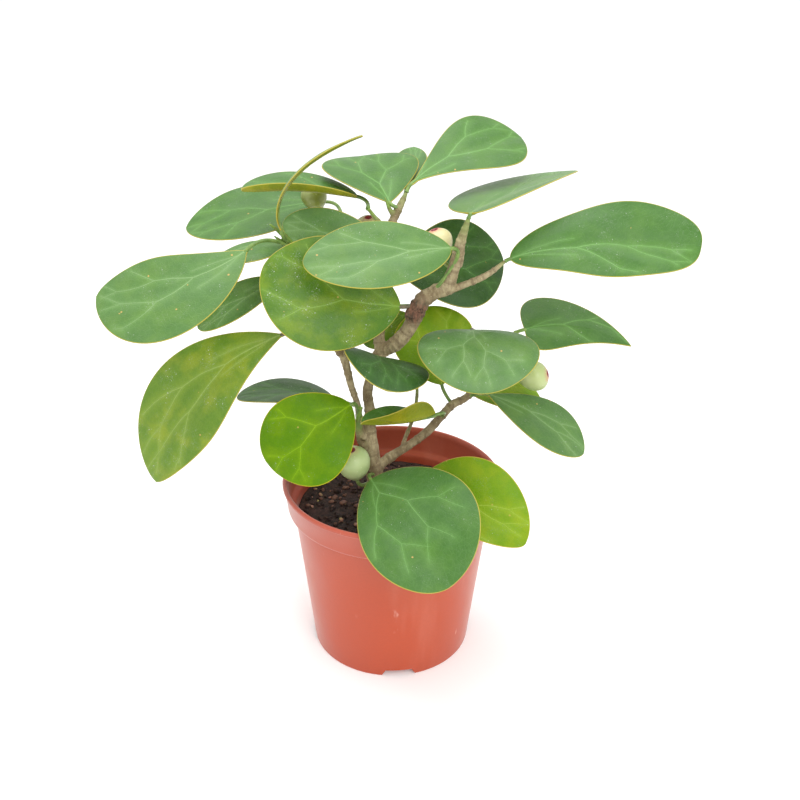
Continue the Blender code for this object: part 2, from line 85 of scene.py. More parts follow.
CAMERA_TARGET = (0.0032, 0.0, 0.124)
CAMERA_DISTANCE = 0.45
CAMERA_ELEVATION = math.radians(26.6)
CAMERA_ROLL = math.radians(0.6)
lens = bpy.data.cameras.new("camera")
lens.lens = 46.0
lens.sensor_width = 36.0
lens.clip_start = 0.01
camera = bpy.data.objects.new("camera", lens)
scene.collection.objects.link(camera)
forward = Vector((0, math.cos(CAMERA_ELEVATION), -math.sin(CAMERA_ELEVATION)))
camera.rotation_mode = "QUATERNION"
camera.rotation_quaternion = (Matrix.Rotation(-CAMERA_ROLL, 3, forward)
                              @ forward.to_track_quat("-Z", "Y").to_matrix()).to_quaternion()
camera.location = Vector(CAMERA_TARGET) - forward * CAMERA_DISTANCE
scene.camera = camera


# Pot. A thin injection-moulded nursery pot in terracotta-coloured plastic. It flares to a collar with a rolled lip,
# and four notches in its foot ring let water out below the raised base plate.
POT_WALL = ((0, 5), (30, 5), (35.4, 5.2), (36.7, 6.2), (37.4, 12), (40.6, 42), (43.9, 69.6), (44.1, 70.8), (44.6, 71.8),
            (46.2, 72.7), (46.8, 73.7), (47.6, 82.6), (47.9, 84.2), (48.5, 84.85), (49.2, 85), (49.75, 84.6), (50, 83.9),
            (49.85, 83.2), (49.35, 82.85), (48.9, 82.3), (48.0, 73.2), (47.7, 72.2), (47.0, 71.6), (45.4, 71.1),
            (45.05, 70.6), (44.9, 69.9), (41.3, 38), (37.8, 6.5), (37.5, 3), (37.15, 0.35), (36.8, 0), (35.5, 0),
            (35.1, 0.4), (34.8, 3.2), (34.5, 3.5), (0, 3.5))
POT_STEPS = 160
NOTCH_OUTLINE = ((-7.85, -2), (-7.85, 0), (-6, 3.5), (6, 3.5), (7.85, 0), (7.85, -2))
NOTCH_TURNS = (-84, 6, 96, 186)


def finish_mesh(name, shape, materials, nodes, smooth=True):
    """Makes the piece's object, puts its materials on, and lets it ride on the plant's one body."""
    mesh = bpy.data.meshes.new(name)
    shape.to_mesh(mesh)
    shape.free()
    mesh.polygons.foreach_set("use_smooth", [smooth] * len(mesh.polygons))
    piece = bpy.data.objects.new(name, mesh)
    scene.collection.objects.link(piece)
    for look in materials:
        mesh.materials.append(look)
    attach(piece, "root")
    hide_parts(*nodes)
    return piece


def spun(profile, steps):
    """Turns an (r, z) outline round the vertical axis."""
    shape = bmesh.new()
    points = [shape.verts.new((r * MM, 0, z * MM)) for r, z in profile]
    edges = [shape.edges.new(pair) for pair in zip(points, points[1:])]
    bmesh.ops.spin(shape, geom=points + edges, axis=(0, 0, 1), cent=(0, 0, 0), angle=math.tau, steps=steps,
                   use_duplicate=False)
    bmesh.ops.remove_doubles(shape, verts=shape.verts, dist=1e-6)
    bmesh.ops.recalc_face_normals(shape, faces=shape.faces)
    return shape


def cut_notch(piece, turn):
    """Cuts one trapezium through the foot ring, turned by so many degrees from the front."""
    shape = bmesh.new()
    near = [shape.verts.new((x * MM, -42 * MM, z * MM)) for x, z in NOTCH_OUTLINE]
    far = [shape.verts.new((x * MM, -30 * MM, z * MM)) for x, z in NOTCH_OUTLINE]
    shape.faces.new(near)
    shape.faces.new(far[::-1])
    for i in range(len(near)):
        j = (i + 1) % len(near)
        shape.faces.new((near[i], far[i], far[j], near[j]))
    bmesh.ops.rotate(shape, verts=shape.verts, matrix=Matrix.Rotation(math.radians(turn), 3, "Z"))
    bmesh.ops.recalc_face_normals(shape, faces=shape.faces)
    mesh = bpy.data.meshes.new("notch")
    shape.to_mesh(mesh)
    shape.free()
    cutter = bpy.data.objects.new("notch", mesh)
    scene.collection.objects.link(cutter)
    cut = piece.modifiers.new("notch", "BOOLEAN")
    cut.object = cutter
    cut.operation = "DIFFERENCE"
    cut.solver = "EXACT"
    bpy.context.view_layer.objects.active = piece
    bpy.ops.object.modifier_apply(modifier=cut.name)
    bpy.data.objects.remove(cutter)


class Tree:
    """Short calls for wiring the nodes of a material or a node group."""

    def __init__(self, tree):
        self.tree = tree

    def add(self, kind, **settings):
        node = self.tree.nodes.new("ShaderNode" + kind)
        for key, value in settings.items():
            setattr(node, key, value)
        return node

    def link(self, source, target):
        if isinstance(source, (int, float, tuple)):
            target.default_value = source
        else:
            self.tree.links.new(source, target)

    def math(self, operation, a, b=0.0, c=0.0):
        node = self.add("Math", operation=operation)
        for socket, value in zip(node.inputs, (a, b, c)):
            self.link(value, socket)
        return node.outputs[0]

    def ramp(self, value, low, high, out_low=0.0, out_high=1.0):
        """Smooth step of a value between low and high."""
        node = self.add("MapRange", interpolation_type="SMOOTHSTEP")
        for socket, number in zip(node.inputs, (value, low, high, out_low, out_high)):
            self.link(number, socket)
        return node.outputs[0]

    def mix(self, factor, a, b, blend="MIX"):
        node = self.add("Mix", data_type="RGBA", blend_type=blend)
        self.link(factor, node.inputs[0])
        self.link(a, node.inputs[6])
        self.link(b, node.inputs[7])
        return node.outputs[2]

    def noise(self, place, scale, detail=3.0, rough=0.55):
        node = self.add("TexNoise")
        self.link(place, node.inputs["Vector"])
        node.inputs["Scale"].default_value = scale
        node.inputs["Detail"].default_value = detail
        node.inputs["Roughness"].default_value = rough
        return node.outputs[0]

    def cells(self, place, scale, feature="F1", output=0):
        node = self.add("TexVoronoi", feature=feature)
        self.link(place, node.inputs["Vector"])
        node.inputs["Scale"].default_value = scale
        return node.outputs[output]

    def stretched(self, place, by):
        node = self.add("VectorMath", operation="MULTIPLY")
        self.link(place, node.inputs[0])
        node.inputs[1].default_value = by
        return node.outputs[0]


def material(name):
    """A new material, its tree and its shader."""
    look = bpy.data.materials.new(name)
    look.use_nodes = True
    return look, Tree(look.node_tree), look.node_tree.nodes["Principled BSDF"]


def rgb(r, g, b):
    return (r, g, b, 1.0)


def bump(tree, shader, height, strength, distance):
    node = tree.add("Bump")
    node.inputs["Strength"].default_value = strength
    node.inputs["Distance"].default_value = distance
    tree.link(height, node.inputs["Height"])
    tree.link(node.outputs[0], shader.inputs["Normal"])


terracotta, t, shader = material("terracotta_plastic")
place = t.add("TexCoord").outputs["Object"]
height_share = t.add("SeparateXYZ")
t.link(place, height_share.inputs[0])
cloud = t.noise(place, 28.0, 4.0)
grain = t.noise(place, 900.0, 2.0)
scuff = t.ramp(t.noise(t.stretched(place, (1.0, 1.0, 0.35)), 230.0, 2.0, 0.4), 0.70, 0.76)
scuff = t.math("MULTIPLY", scuff, t.ramp(t.noise(place, 45.0, 1.0), 0.56, 0.66))
smear = t.ramp(t.noise(t.stretched(place, (1.0, 1.0, 0.12)), 70.0, 3.0), 0.52, 0.75)
body = t.mix(cloud, rgb(0.41, 0.050, 0.010), rgb(0.49, 0.066, 0.016))
# Painted reflection: from 45 mm up to the lip the pot is mixed more and more towards a greyer, hazier red, standing in
# for the whitish haze of the bright room on the collar.
body = t.mix(t.ramp(height_share.outputs[2], 0.045, 0.085), body, rgb(0.43, 0.078, 0.040))
body = t.mix(t.math("MULTIPLY", smear, 0.16), body, rgb(0.62, 0.22, 0.15))
body = t.mix(t.math("MULTIPLY", scuff, 0.45), body, rgb(0.75, 0.40, 0.32))
body = t.mix(t.ramp(grain, 0.35, 0.65, 0.0, 0.10), body, rgb(0.30, 0.045, 0.02))
t.link(body, shader.inputs["Base Color"])
t.link(t.ramp(cloud, 0.3, 0.7, 0.40, 0.52), shader.inputs["Roughness"])
bump(t, shader, t.math("ADD", t.math("MULTIPLY", grain, 0.4), t.math("MULTIPLY", scuff, -1.0)), 0.15, 0.0003)
shader.inputs["Sheen Weight"].default_value = 0.4
shader.inputs["Sheen Roughness"].default_value = 0.35

pot = finish_mesh("nursery_pot", spun(POT_WALL, POT_STEPS), [terracotta], ["pot"])
for turn in NOTCH_TURNS:
    cut_notch(pot, turn)
bpy.ops.object.select_all(action="DESELECT")
pot.select_set(True)
bpy.context.view_layer.objects.active = pot
bpy.ops.object.shade_smooth_by_angle(angle=math.radians(35))


# Soil. Dark peaty potting mix, heaped a little round the trunk, with crumbs, chips of bark and a few pale and
# pinkish husks and root ends lying on it. It fills the pot to just under the collar.
SOIL_EDGE = 43.4
SOIL_TOP = 68.9
CRUMBS = 620
CHIPS = 70


def soil_height(x, y):
    """Height of the soil's surface, in mm."""
    r = math.hypot(x, y)
    heap = 1.6 * math.exp(-((x + 6) ** 2 + (y + 4) ** 2) / 180)
    lumps = noise.fractal(Vector((x, y, 3.0)) / 9.0, 0.8, 2.1, 5) * 0.8
    edge = -1.2 * (r / SOIL_EDGE) ** 6
    return SOIL_TOP + heap + lumps + edge


def soil_surface():
    shape = bmesh.new()
    spokes, rings = 180, 60
    middle = shape.verts.new((0, 0, soil_height(0, 0) * MM))
    last = None
    for i in range(1, rings + 1):
        r = SOIL_EDGE * i / rings
        row = []
        for k in range(spokes):
            x, y = r * math.cos(math.tau * k / spokes), r * math.sin(math.tau * k / spokes)
            row.append(shape.verts.new((x * MM, y * MM, soil_height(x, y) * MM)))
        for k in range(spokes):
            j = (k + 1) % spokes
            shape.faces.new((last[k], row[k], row[j], last[j]) if last else (middle, row[k], row[j]))
        last = row
    base = [shape.verts.new((v.co.x * 0.93, v.co.y * 0.93, 0.056)) for v in last]
    for k in range(spokes):
        j = (k + 1) % spokes
        shape.faces.new((last[k], base[k], base[j], last[j]))
    shape.faces.new(base[::-1])
    return shape


def scatter(shape, count, seed, size, flat, slots, reach=41.0):
    """Adds small rough lumps that lie on the soil: size and flat are (least, most) in mm and as a share."""
    pick = np.random.default_rng(seed)
    for _ in range(count):
        r = reach * math.sqrt(pick.random())
        turn = math.tau * pick.random()
        x, y = r * math.cos(turn), r * math.sin(turn)
        big = pick.uniform(*size)
        made = bmesh.ops.create_icosphere(shape, subdivisions=1, radius=0.5 * MM)
        stretch = Vector((big, big * pick.uniform(0.5, 0.9), big * pick.uniform(*flat)))
        spin = Matrix.Rotation(math.tau * pick.random(), 3, "Z") @ Matrix.Rotation(pick.normal(0, 0.35), 3, "X")
        for v in made["verts"]:
            jog = 1 + 0.35 * noise.noise(v.co * 2500 + Vector((x, y, big)) * 7)
            co = v.co * jog
            co = spin @ Vector((co.x * stretch.x, co.y * stretch.y, co.z * stretch.z))
            v.co = co + Vector((x * MM, y * MM, (soil_height(x, y) + 0.15 * big) * MM))
        slot = int(pick.choice(slots))
        for f in {f for v in made["verts"] for f in v.link_faces}:
            f.material_index = slot


soil_look, t, shader = material("potting_mix")
place = t.add("TexCoord").outputs["Object"]
lumps = t.noise(place, 420.0, 6.0, 0.7)
blotch = t.noise(place, 90.0, 3.0)
dirt = t.mix(t.ramp(lumps, 0.35, 0.7), rgb(0.010, 0.005, 0.004), rgb(0.060, 0.030, 0.024))
dirt = t.mix(t.ramp(blotch, 0.5, 0.75, 0.0, 0.5), dirt, rgb(0.10, 0.045, 0.040))
fleck = t.ramp(t.cells(place, 700.0), 0.10, 0.16, 1.0, 0.0)
dirt = t.mix(t.math("MULTIPLY", fleck, 0.5), dirt, rgb(0.22, 0.12, 0.10))
t.link(dirt, shader.inputs["Base Color"])
t.link(t.ramp(blotch, 0.3, 0.7, 0.75, 0.95), shader.inputs["Roughness"])
bump(t, shader, lumps, 0.8, 0.0006)

chip_look, t, shader = material("bark_chips")
place = t.add("TexCoord").outputs["Object"]
fibre = t.noise(t.stretched(place, (1.0, 0.25, 1.0)), 1500.0, 3.0)
t.link(t.mix(fibre, rgb(0.10, 0.045, 0.030), rgb(0.26, 0.13, 0.09)), shader.inputs["Base Color"])
t.link(t.ramp(fibre, 0.3, 0.7, 0.6, 0.85), shader.inputs["Roughness"])
bump(t, shader, fibre, 0.5, 0.0003)

husk_look, t, shader = material("pale_husks")
place = t.add("TexCoord").outputs["Object"]
spot = t.noise(place, 260.0, 2.0)
t.link(t.mix(t.ramp(spot, 0.4, 0.6), rgb(0.42, 0.20, 0.16), rgb(0.42, 0.36, 0.12)), shader.inputs["Base Color"])
t.link(t.ramp(spot, 0.3, 0.7, 0.5, 0.7), shader.inputs["Roughness"])
bump(t, shader, t.noise(place, 1200.0, 2.0), 0.4, 0.0003)

heap = soil_surface()
scatter(heap, CRUMBS, 11, (0.7, 2.6), (0.6, 0.9), [0, 0, 0, 1])
scatter(heap, CHIPS, 12, (2.0, 4.6), (0.25, 0.45), [1, 1, 0])
scatter(heap, 26, 13, (1.2, 3.2), (0.35, 0.6), [2])
soil = finish_mesh("potting_soil", heap, [soil_look, chip_look, husk_look], ["soil"])


# Woody stems. The trunk and branches of the shrub are grey-brown bark with rings where old leaves sat and a dark,
# fissured burl on the right-hand branch. The ends are this year's shoots, smooth and green, with pointed leaf buds.
# Each stem is its centre line and radius, from its parent outwards.
STEMS = {
    "trunk": ((-6, -4, 58, 4.2), (-6, -4, 72, 4.1), (-8, -4, 90, 3.7), (-10, -3, 105, 3.3), (-10, -2, 119, 2.4),
              (-11, -1, 129, 2.2), (-8, 0, 141, 2.4), (-5, 0, 147, 3.1)),
    "branch_a": ((-8, 0, 143, 2.4), (-5, 0, 147, 3.1), (1, 0, 151, 3.2), (6, 0, 157, 3.2), (10, -1, 166, 3.8),
                 (12, -1, 171, 3.8), (18, 0, 175, 3.1), (22, 0, 177, 3.2), (25, -1, 186, 2.5), (26, -1, 189, 2.6),
                 (27, -2, 196, 2.1), (28, -2, 200, 1.8), (30, -2, 207, 0.9)),
    "branch_a_side": ((21, 0, 174, 1.6), (26, 0, 176.5, 1.5), (38, 0, 182, 1.3), (46, 0, 188.5, 0.8)),
    "burl": ((6, -1, 163, 1.5), (8, -3, 167, 3.2), (11, -3, 171, 3.0), (14, -2, 172, 1.4)),
    "branch_b": ((-5, 0, 146, 2.6), (-6, 3, 152, 2.5), (-6, 8, 168, 2.2), (-3, 12, 184, 2.0), (-1, 14, 199, 1.7),
                 (1, 15, 204, 1.6), (3, 16, 208, 1.4), (5, 18, 212, 0.7)),
    "twig_b_left": ((-3, 12, 184, 1.2), (-10, 19, 185, 1.1), (-18, 27, 187.5, 1.0), (-28.5, 36, 191, 0.8)),
    "twig_b_front": ((-1, 14, 196, 1.1), (-6, 14, 200, 1.0), (-11, 14, 206, 0.8)),
    "branch_left": ((-10, -3, 102, 2.0), (-14, -4, 106, 1.9), (-15, -6, 123, 1.5), (-18, -6, 134, 1.5),
                    (-21, -5, 147, 1.8), (-26, 0, 157, 1.6), (-33, 6, 174, 1.4), (-40, 7, 188, 1.3),
                    (-45, 6, 196, 1.2), (-51, 4, 202, 0.4)),
    "stub": ((-20, -5, 146, 1.6), (-22, -7, 149, 1.7), (-24, -8, 152, 1.3)),
    "spur": ((-10, -3, 106, 1.7), (-13, -6, 109, 1.6), (-15, -7, 113, 1.5), (-15, -7, 118, 1.2), (-13, -7, 124, 0.3)),
    "branch_c": ((-7, -3, 90, 2.0), (-2, -1, 95, 2.1), (6, 2, 99, 2.0), (15, 5, 105, 2.0), (22, 8, 112, 2.0),
                 (27, 10, 117, 1.9), (33, 13, 119, 1.7), (42, 16, 126, 1.5), (49, 18, 138, 1.3), (54, 18, 149, 0.6)),
    "twig_d": ((-2, -1, 93, 1.3), (3, 6, 94, 1.1), (6, 12, 99, 1.0), (9, 16, 106, 0.9), (11, 18, 118, 0.8),
               (10, 20, 127, 0.6)),
    "shoot_low": ((-7, -5, 74, 1.4), (-9, -9, 77, 1.2), (-12, -12, 80, 1.0), (-13, -13, 84, 0.5)),
    "bud_b": ((0, 14, 203, 1.0), (-2, 14, 206, 0.9), (-4, 14, 211, 0.3)),
    "bud_left": ((-42, 7, 191, 1.0), (-46, 5, 194, 0.9), (-49.5, 4, 197, 0.3)),
    "root_front": ((-7, -5, 71, 1.3), (-9, -8, 69, 1.1), (-12, -12, 68, 0.8)),
    "root_side": ((-4, -5, 72, 1.4), (-1, -8, 69.5, 1.1), (3, -11, 68, 0.7)),
}
# Where each stem turns from bark to green shoot: share of its length at which green starts and where it is complete
GREEN = {"branch_left": (0.66, 0.80), "branch_a": (0.86, 1.05), "branch_b": (0.85, 1.1), "twig_b_left": (0.2, 0.9),
         "twig_b_front": (0.1, 0.9), "spur": (0.3, 0.62), "branch_c": (0.9, 1.1), "shoot_low": (0.1, 0.8),
         "bud_b": (0.0, 0.5), "bud_left": (0.0, 0.2), "branch_a_side": (0.85, 1.1), "twig_d": (0.3, 1.2)}
BURL_CENTRE = (9, -3, 168)
RING_GAP = 5.2
BARK_VOXEL = 0.36


def catmull_rom(points, step_count):
    """Smooth curve through the points, step_count steps to a segment."""
    p = np.array(points, float)
    p = np.vstack([2 * p[0] - p[1], p, 2 * p[-1] - p[-2]])
    out = []
    for i in range(1, len(p) - 2):
        for s in np.arange(step_count) / step_count:
            a, b = 2 * p[i], p[i + 1] - p[i - 1]
            c = 2 * p[i - 1] - 5 * p[i] + 4 * p[i + 1] - p[i + 2]
            d = -p[i - 1] + 3 * p[i] - 3 * p[i + 1] + p[i + 2]
            out.append(0.5 * (a + b * s + c * s * s + d * s ** 3))
    out.append(p[-2])
    return np.array(out)


def unit(v):
    return v / np.linalg.norm(v)


def tube(shape, centres, radii, sides, slot=0):
    """A closed round tube along the centres, in mm, whose cross sections turn as little as they can."""
    centres = np.array(centres, float)
    along = np.gradient(centres, axis=0)
    across = np.cross(unit(along[0]), (0.31, 0.22, 0.93) if abs(unit(along[0])[2]) < 0.9 else (1.0, 0.1, 0.0))
    rows = []
    for centre, way, radius in zip(centres, along, radii):
        way = unit(way)
        across = unit(across - way * np.dot(across, way))
        up = np.cross(way, across)
        row = []
        for k in range(sides):
            turn = math.tau * k / sides
            point = centre + radius * (across * math.cos(turn) + up * math.sin(turn))
            row.append(shape.verts.new(tuple(point * MM)))
        rows.append(row)
    faces = [shape.faces.new(rows[0][::-1]), shape.faces.new(rows[-1])]
    for here, there in zip(rows, rows[1:]):
        for k in range(sides):
            j = (k + 1) % sides
            faces.append(shape.faces.new((here[k], here[j], there[j], there[k])))
    for face in faces:
        face.material_index = slot
        face.smooth = True
    return rows


def ring_swell(length, ring_start):
    """How much a stem swells, in mm, at a length along it: a narrow ridge at every leaf scar."""
    away = (length - ring_start) % RING_GAP
    away = min(away, RING_GAP - away)
    return 0.32 * math.exp(-(away / 0.45) ** 2) - 0.10 * math.exp(-((away - 0.9) / 0.5) ** 2)


woody = bmesh.new()
stem_points, stem_green, stem_length = [], [], []
for number, (stem, points) in enumerate(STEMS.items()):
    path = catmull_rom(points, 12)
    steps = np.linalg.norm(np.diff(path[:, :3], axis=0), axis=1)
    length = np.concatenate([[0], np.cumsum(steps)])
    start, full = GREEN.get(stem, (2.0, 3.0))
    green = np.clip((length / length[-1] - start) / (full - start), 0, 1)
    radii = [r + (ring_swell(run, 1.3 * number) * (0.35 + 0.65 * (1 - g)) * min(1, r / 1.6) if r > 0.85 else 0)
             + 0.12 * r * noise.noise(Vector(p[:3]) / 6) for r, run, g, p in zip(path[:, 3], length, green, path)]
    tube(woody, path[:, :3], radii, 20)
    stem_points.append(path)
    stem_green.append(green)
    stem_length.append(length + 1.3 * number)
stems = finish_mesh("woody_stems", woody, [], ["stems"])

joined = stems.modifiers.new("grown_together", "REMESH")
joined.mode = "VOXEL"
joined.voxel_size = BARK_VOXEL * MM
soften = stems.modifiers.new("soften", "SMOOTH")
soften.factor = 0.5
soften.iterations = 3
bpy.context.view_layer.objects.active = stems
for name in ("grown_together", "soften"):
    bpy.ops.object.modifier_apply(modifier=name)

# Bark relief: shallow lengthwise wrinkles, and deep cracks over the burl
points = np.concatenate(stem_points)
greens = np.concatenate(stem_green)
lengths = np.concatenate(stem_length)
tree = kdtree.KDTree(len(points))
for i, p in enumerate(points):
    tree.insert(Vector(p[:3]) * MM, i)
tree.balance()
count = len(stems.data.vertices)
skin_places, skin_normals = np.empty(count * 3), np.empty(count * 3)
stems.data.vertices.foreach_get("co", skin_places)
stems.data.vertices.foreach_get("normal", skin_normals)
skin_places, skin_normals = skin_places.reshape(-1, 3), skin_normals.reshape(-1, 3)
nearest = np.array([tree.find(co)[1] for co in skin_places])
young = greens[nearest]
away = lengths[nearest] % RING_GAP
ring = np.minimum(away, RING_GAP - away)
from_burl = np.linalg.norm(skin_places / MM - BURL_CENTRE, axis=1)
burl = np.exp(-(from_burl / 6.5) ** 4)
crack = np.array([noise.turbulence(Vector(co) * 550, 4, False) for co in skin_places])
wrinkle = np.array([noise.fractal(Vector(co) * 1100, 0.7, 2.0, 4) for co in skin_places * (1, 1, 0.35)])
push = (1 - young) * 0.10 * wrinkle + burl * 0.9 * (crack - 0.55)
skin_places += skin_normals * (push * MM)[:, None]
stems.data.vertices.foreach_set("co", skin_places.ravel())
for name, values in (("young", young), ("ring", ring), ("burl", burl)):
    stems.data.attributes.new(name, "FLOAT", "POINT").data.foreach_set("value", values)
stems.data.polygons.foreach_set("use_smooth", [True] * len(stems.data.polygons))


def read(tree, name, kind="Fac"):
    """The piece's own value, stored on its points under this name."""
    return tree.add("Attribute", attribute_name=name).outputs[kind]


bark, t, shader = material("bark_and_shoots")
place = t.add("TexCoord").outputs["Object"]
grey = t.noise(place, 160.0, 4.0)
fibres = t.noise(t.stretched(place, (1.0, 1.0, 0.3)), 700.0, 4.0, 0.7)
pores = t.ramp(t.cells(place, 900.0), 0.12, 0.24, 1.0, 0.0)
old = t.mix(t.ramp(grey, 0.35, 0.65), rgb(0.22, 0.165, 0.085), rgb(0.40, 0.33, 0.19))
old = t.mix(t.ramp(fibres, 0.42, 0.72, 0.0, 0.75), old, rgb(0.13, 0.088, 0.042))
old = t.mix(t.math("MULTIPLY", pores, 0.5), old, rgb(0.50, 0.42, 0.28))
scar = t.ramp(read(t, "ring"), 0.25, 0.85, 1.0, 0.0)
old = t.mix(t.math("MULTIPLY", scar, t.ramp(grey, 0.35, 0.6, 0.10, 0.50)), old, rgb(0.11, 0.07, 0.032))
knobbly = t.mix(t.ramp(fibres, 0.38, 0.62), rgb(0.016, 0.007, 0.005), rgb(0.19, 0.085, 0.050))
old = t.mix(read(t, "burl"), old, knobbly)
fresh = t.mix(grey, rgb(0.115, 0.225, 0.030), rgb(0.24, 0.36, 0.055))
fresh = t.mix(t.math("MULTIPLY", scar, 0.35), fresh, rgb(0.16, 0.10, 0.04))
t.link(t.mix(read(t, "young"), old, fresh), shader.inputs["Base Color"])
t.link(t.ramp(read(t, "young"), 0.0, 1.0, 0.82, 0.42), shader.inputs["Roughness"])
relief = t.math("MULTIPLY", fibres, t.math("SUBTRACT", 1.0, t.math("MULTIPLY", read(t, "young"), 0.85)))
bump(t, shader, relief, 0.6, 0.0005)
stems.data.materials.append(bark)


# Figs. Five pear-shaped young fruits on short stalks: pale green and cream with faint lighter flecks, flushed
# pink-red round the mouth, where small scales close over a dark pore.
FIGS = {
    "fig_1": ((26, -1, 187), (20.5, 4, 188), (16.5, 4, 200.5), 6.1, rgb(0.62, 0.56, 0.30), 0.75),
    "fig_2": ((-28.5, 36, 191), (-33.8, 49, 194.8), (-38, 46, 207), 5.8, rgb(0.22, 0.26, 0.035), 0.25),
    "fig_3": ((-3.5, 13.5, 186), (-10.6, 26, 188), (-11.2, 23, 199.7), 6.0, rgb(0.45, 0.45, 0.24), 0.35),
    "fig_4": ((49, 18, 137), (56, 13, 128), (69, 10, 133), 6.6, rgb(0.42, 0.50, 0.20), 0.75),
    "fig_5": ((-8, -4, 86), (-15.6, -10, 89), (-18, -13, 106), 7.4, rgb(0.40, 0.52, 0.22), 0.3),
}
FIG_OUTLINE = ((0.0, 0.15), (0.04, 0.17), (0.10, 0.34), (0.18, 0.55), (0.30, 0.78), (0.42, 0.92), (0.55, 0.99),
               (0.66, 1.0), (0.76, 0.94), (0.85, 0.80), (0.92, 0.60), (0.965, 0.40), (0.985, 0.28), (0.975, 0.20),
               (0.955, 0.12), (0.93, 0.05))
STALK_RADIUS = 0.85
STALK_ROUND = 0.4
STALK_SIDES = 16
FIG_SIDES = 48


def fig_skin(name, body_colour, flush):
    """Skin of one fig. The attribute mouth runs from 0 at the stalk to 1 at the mouth."""
    look, t, shader = material(name)
    place = t.add("TexCoord").outputs["Object"]
    mouth = read(t, "mouth")
    cloudy = t.noise(place, 150.0, 3.0)
    skin = t.mix(t.ramp(cloudy, 0.35, 0.7, 0.0, 0.5), body_colour, rgb(0.50, 0.56, 0.28))
    fleck = t.ramp(t.cells(place, 520.0), 0.07, 0.13, 1.0, 0.0)
    skin = t.mix(t.math("MULTIPLY", fleck, 0.45), skin, rgb(0.75, 0.76, 0.55))
    skin = t.mix(t.ramp(mouth, 0.22, 0.02, 0.0, 0.8), skin, rgb(0.16, 0.26, 0.05))
    flushed = t.ramp(t.math("ADD", mouth, t.math("MULTIPLY", cloudy, 0.12)), 0.93, 1.04)
    skin = t.mix(t.math("MULTIPLY", flushed, flush), skin, rgb(0.62, 0.10, 0.09))
    skin = t.mix(t.ramp(mouth, 0.962, 0.99), skin, rgb(0.20, 0.012, 0.020))
    t.link(skin, shader.inputs["Base Color"])
    t.link(t.ramp(cloudy, 0.3, 0.7, 0.34, 0.46), shader.inputs["Roughness"])
    bump(t, shader, t.math("ADD", fleck, t.noise(place, 700.0, 2.0)), 0.15, 0.0002)
    return look


def fig(name, stem, neck, mouth, radius, colour, flush):
    neck = np.array(neck, float)
    axis = np.array(mouth, float) - neck
    bend = neck - STALK_ROUND * axis
    centres, radii = [], []
    for s in np.linspace(0, 0.97, 16):
        centres.append((1 - s) ** 2 * np.array(stem, float) + 2 * s * (1 - s) * bend + s * s * neck)
        radii.append(STALK_RADIUS * (1 + 0.15 * (1 - s)))
    outline = catmull_rom([(*p, 0, 0) for p in FIG_OUTLINE], 3)[:, :2]
    shape = bmesh.new()
    tube(shape, centres, radii, STALK_SIDES)
    way = unit(axis)
    across = unit(np.cross(way, (0.2, 1.0, 0.3)))
    up = np.cross(way, across)
    rows = []
    for share, wide in outline:
        centre = neck + axis * share
        row = []
        for k in range(FIG_SIDES):
            turn = math.tau * k / FIG_SIDES
            rib = 1 + 0.006 * math.cos(6 * turn)
            row.append(shape.verts.new(tuple(
                (centre + radius * wide * rib * (across * math.cos(turn) + up * math.sin(turn))) * MM)))
        rows.append(row)
    shape.faces.new(rows[0][::-1])
    shape.faces.new(rows[-1])
    for here, there in zip(rows, rows[1:]):
        for k in range(FIG_SIDES):
            j = (k + 1) % FIG_SIDES
            shape.faces.new((here[k], here[j], there[j], there[k]))
    piece = finish_mesh(name + "_fruit", shape, [fig_skin(name + "_skin", colour, flush)], [name])
    # The rim is the row that reaches furthest, and what lies past it turns into the pore
    rim = int(np.argmax(outline[:, 0]))
    along = [0.0] * (16 * STALK_SIDES)
    for number, (share, wide) in enumerate(outline):
        along += [max(share, 0.0) * 0.96 if number <= rim else 1.0] * FIG_SIDES
    piece.data.attributes.new("mouth", "FLOAT", "POINT").data.foreach_set("value", along)
    return piece


for name, (stem, neck, mouth, radius, colour, flush) in FIGS.items():
    fig(name, stem, neck, mouth, radius, colour, flush)
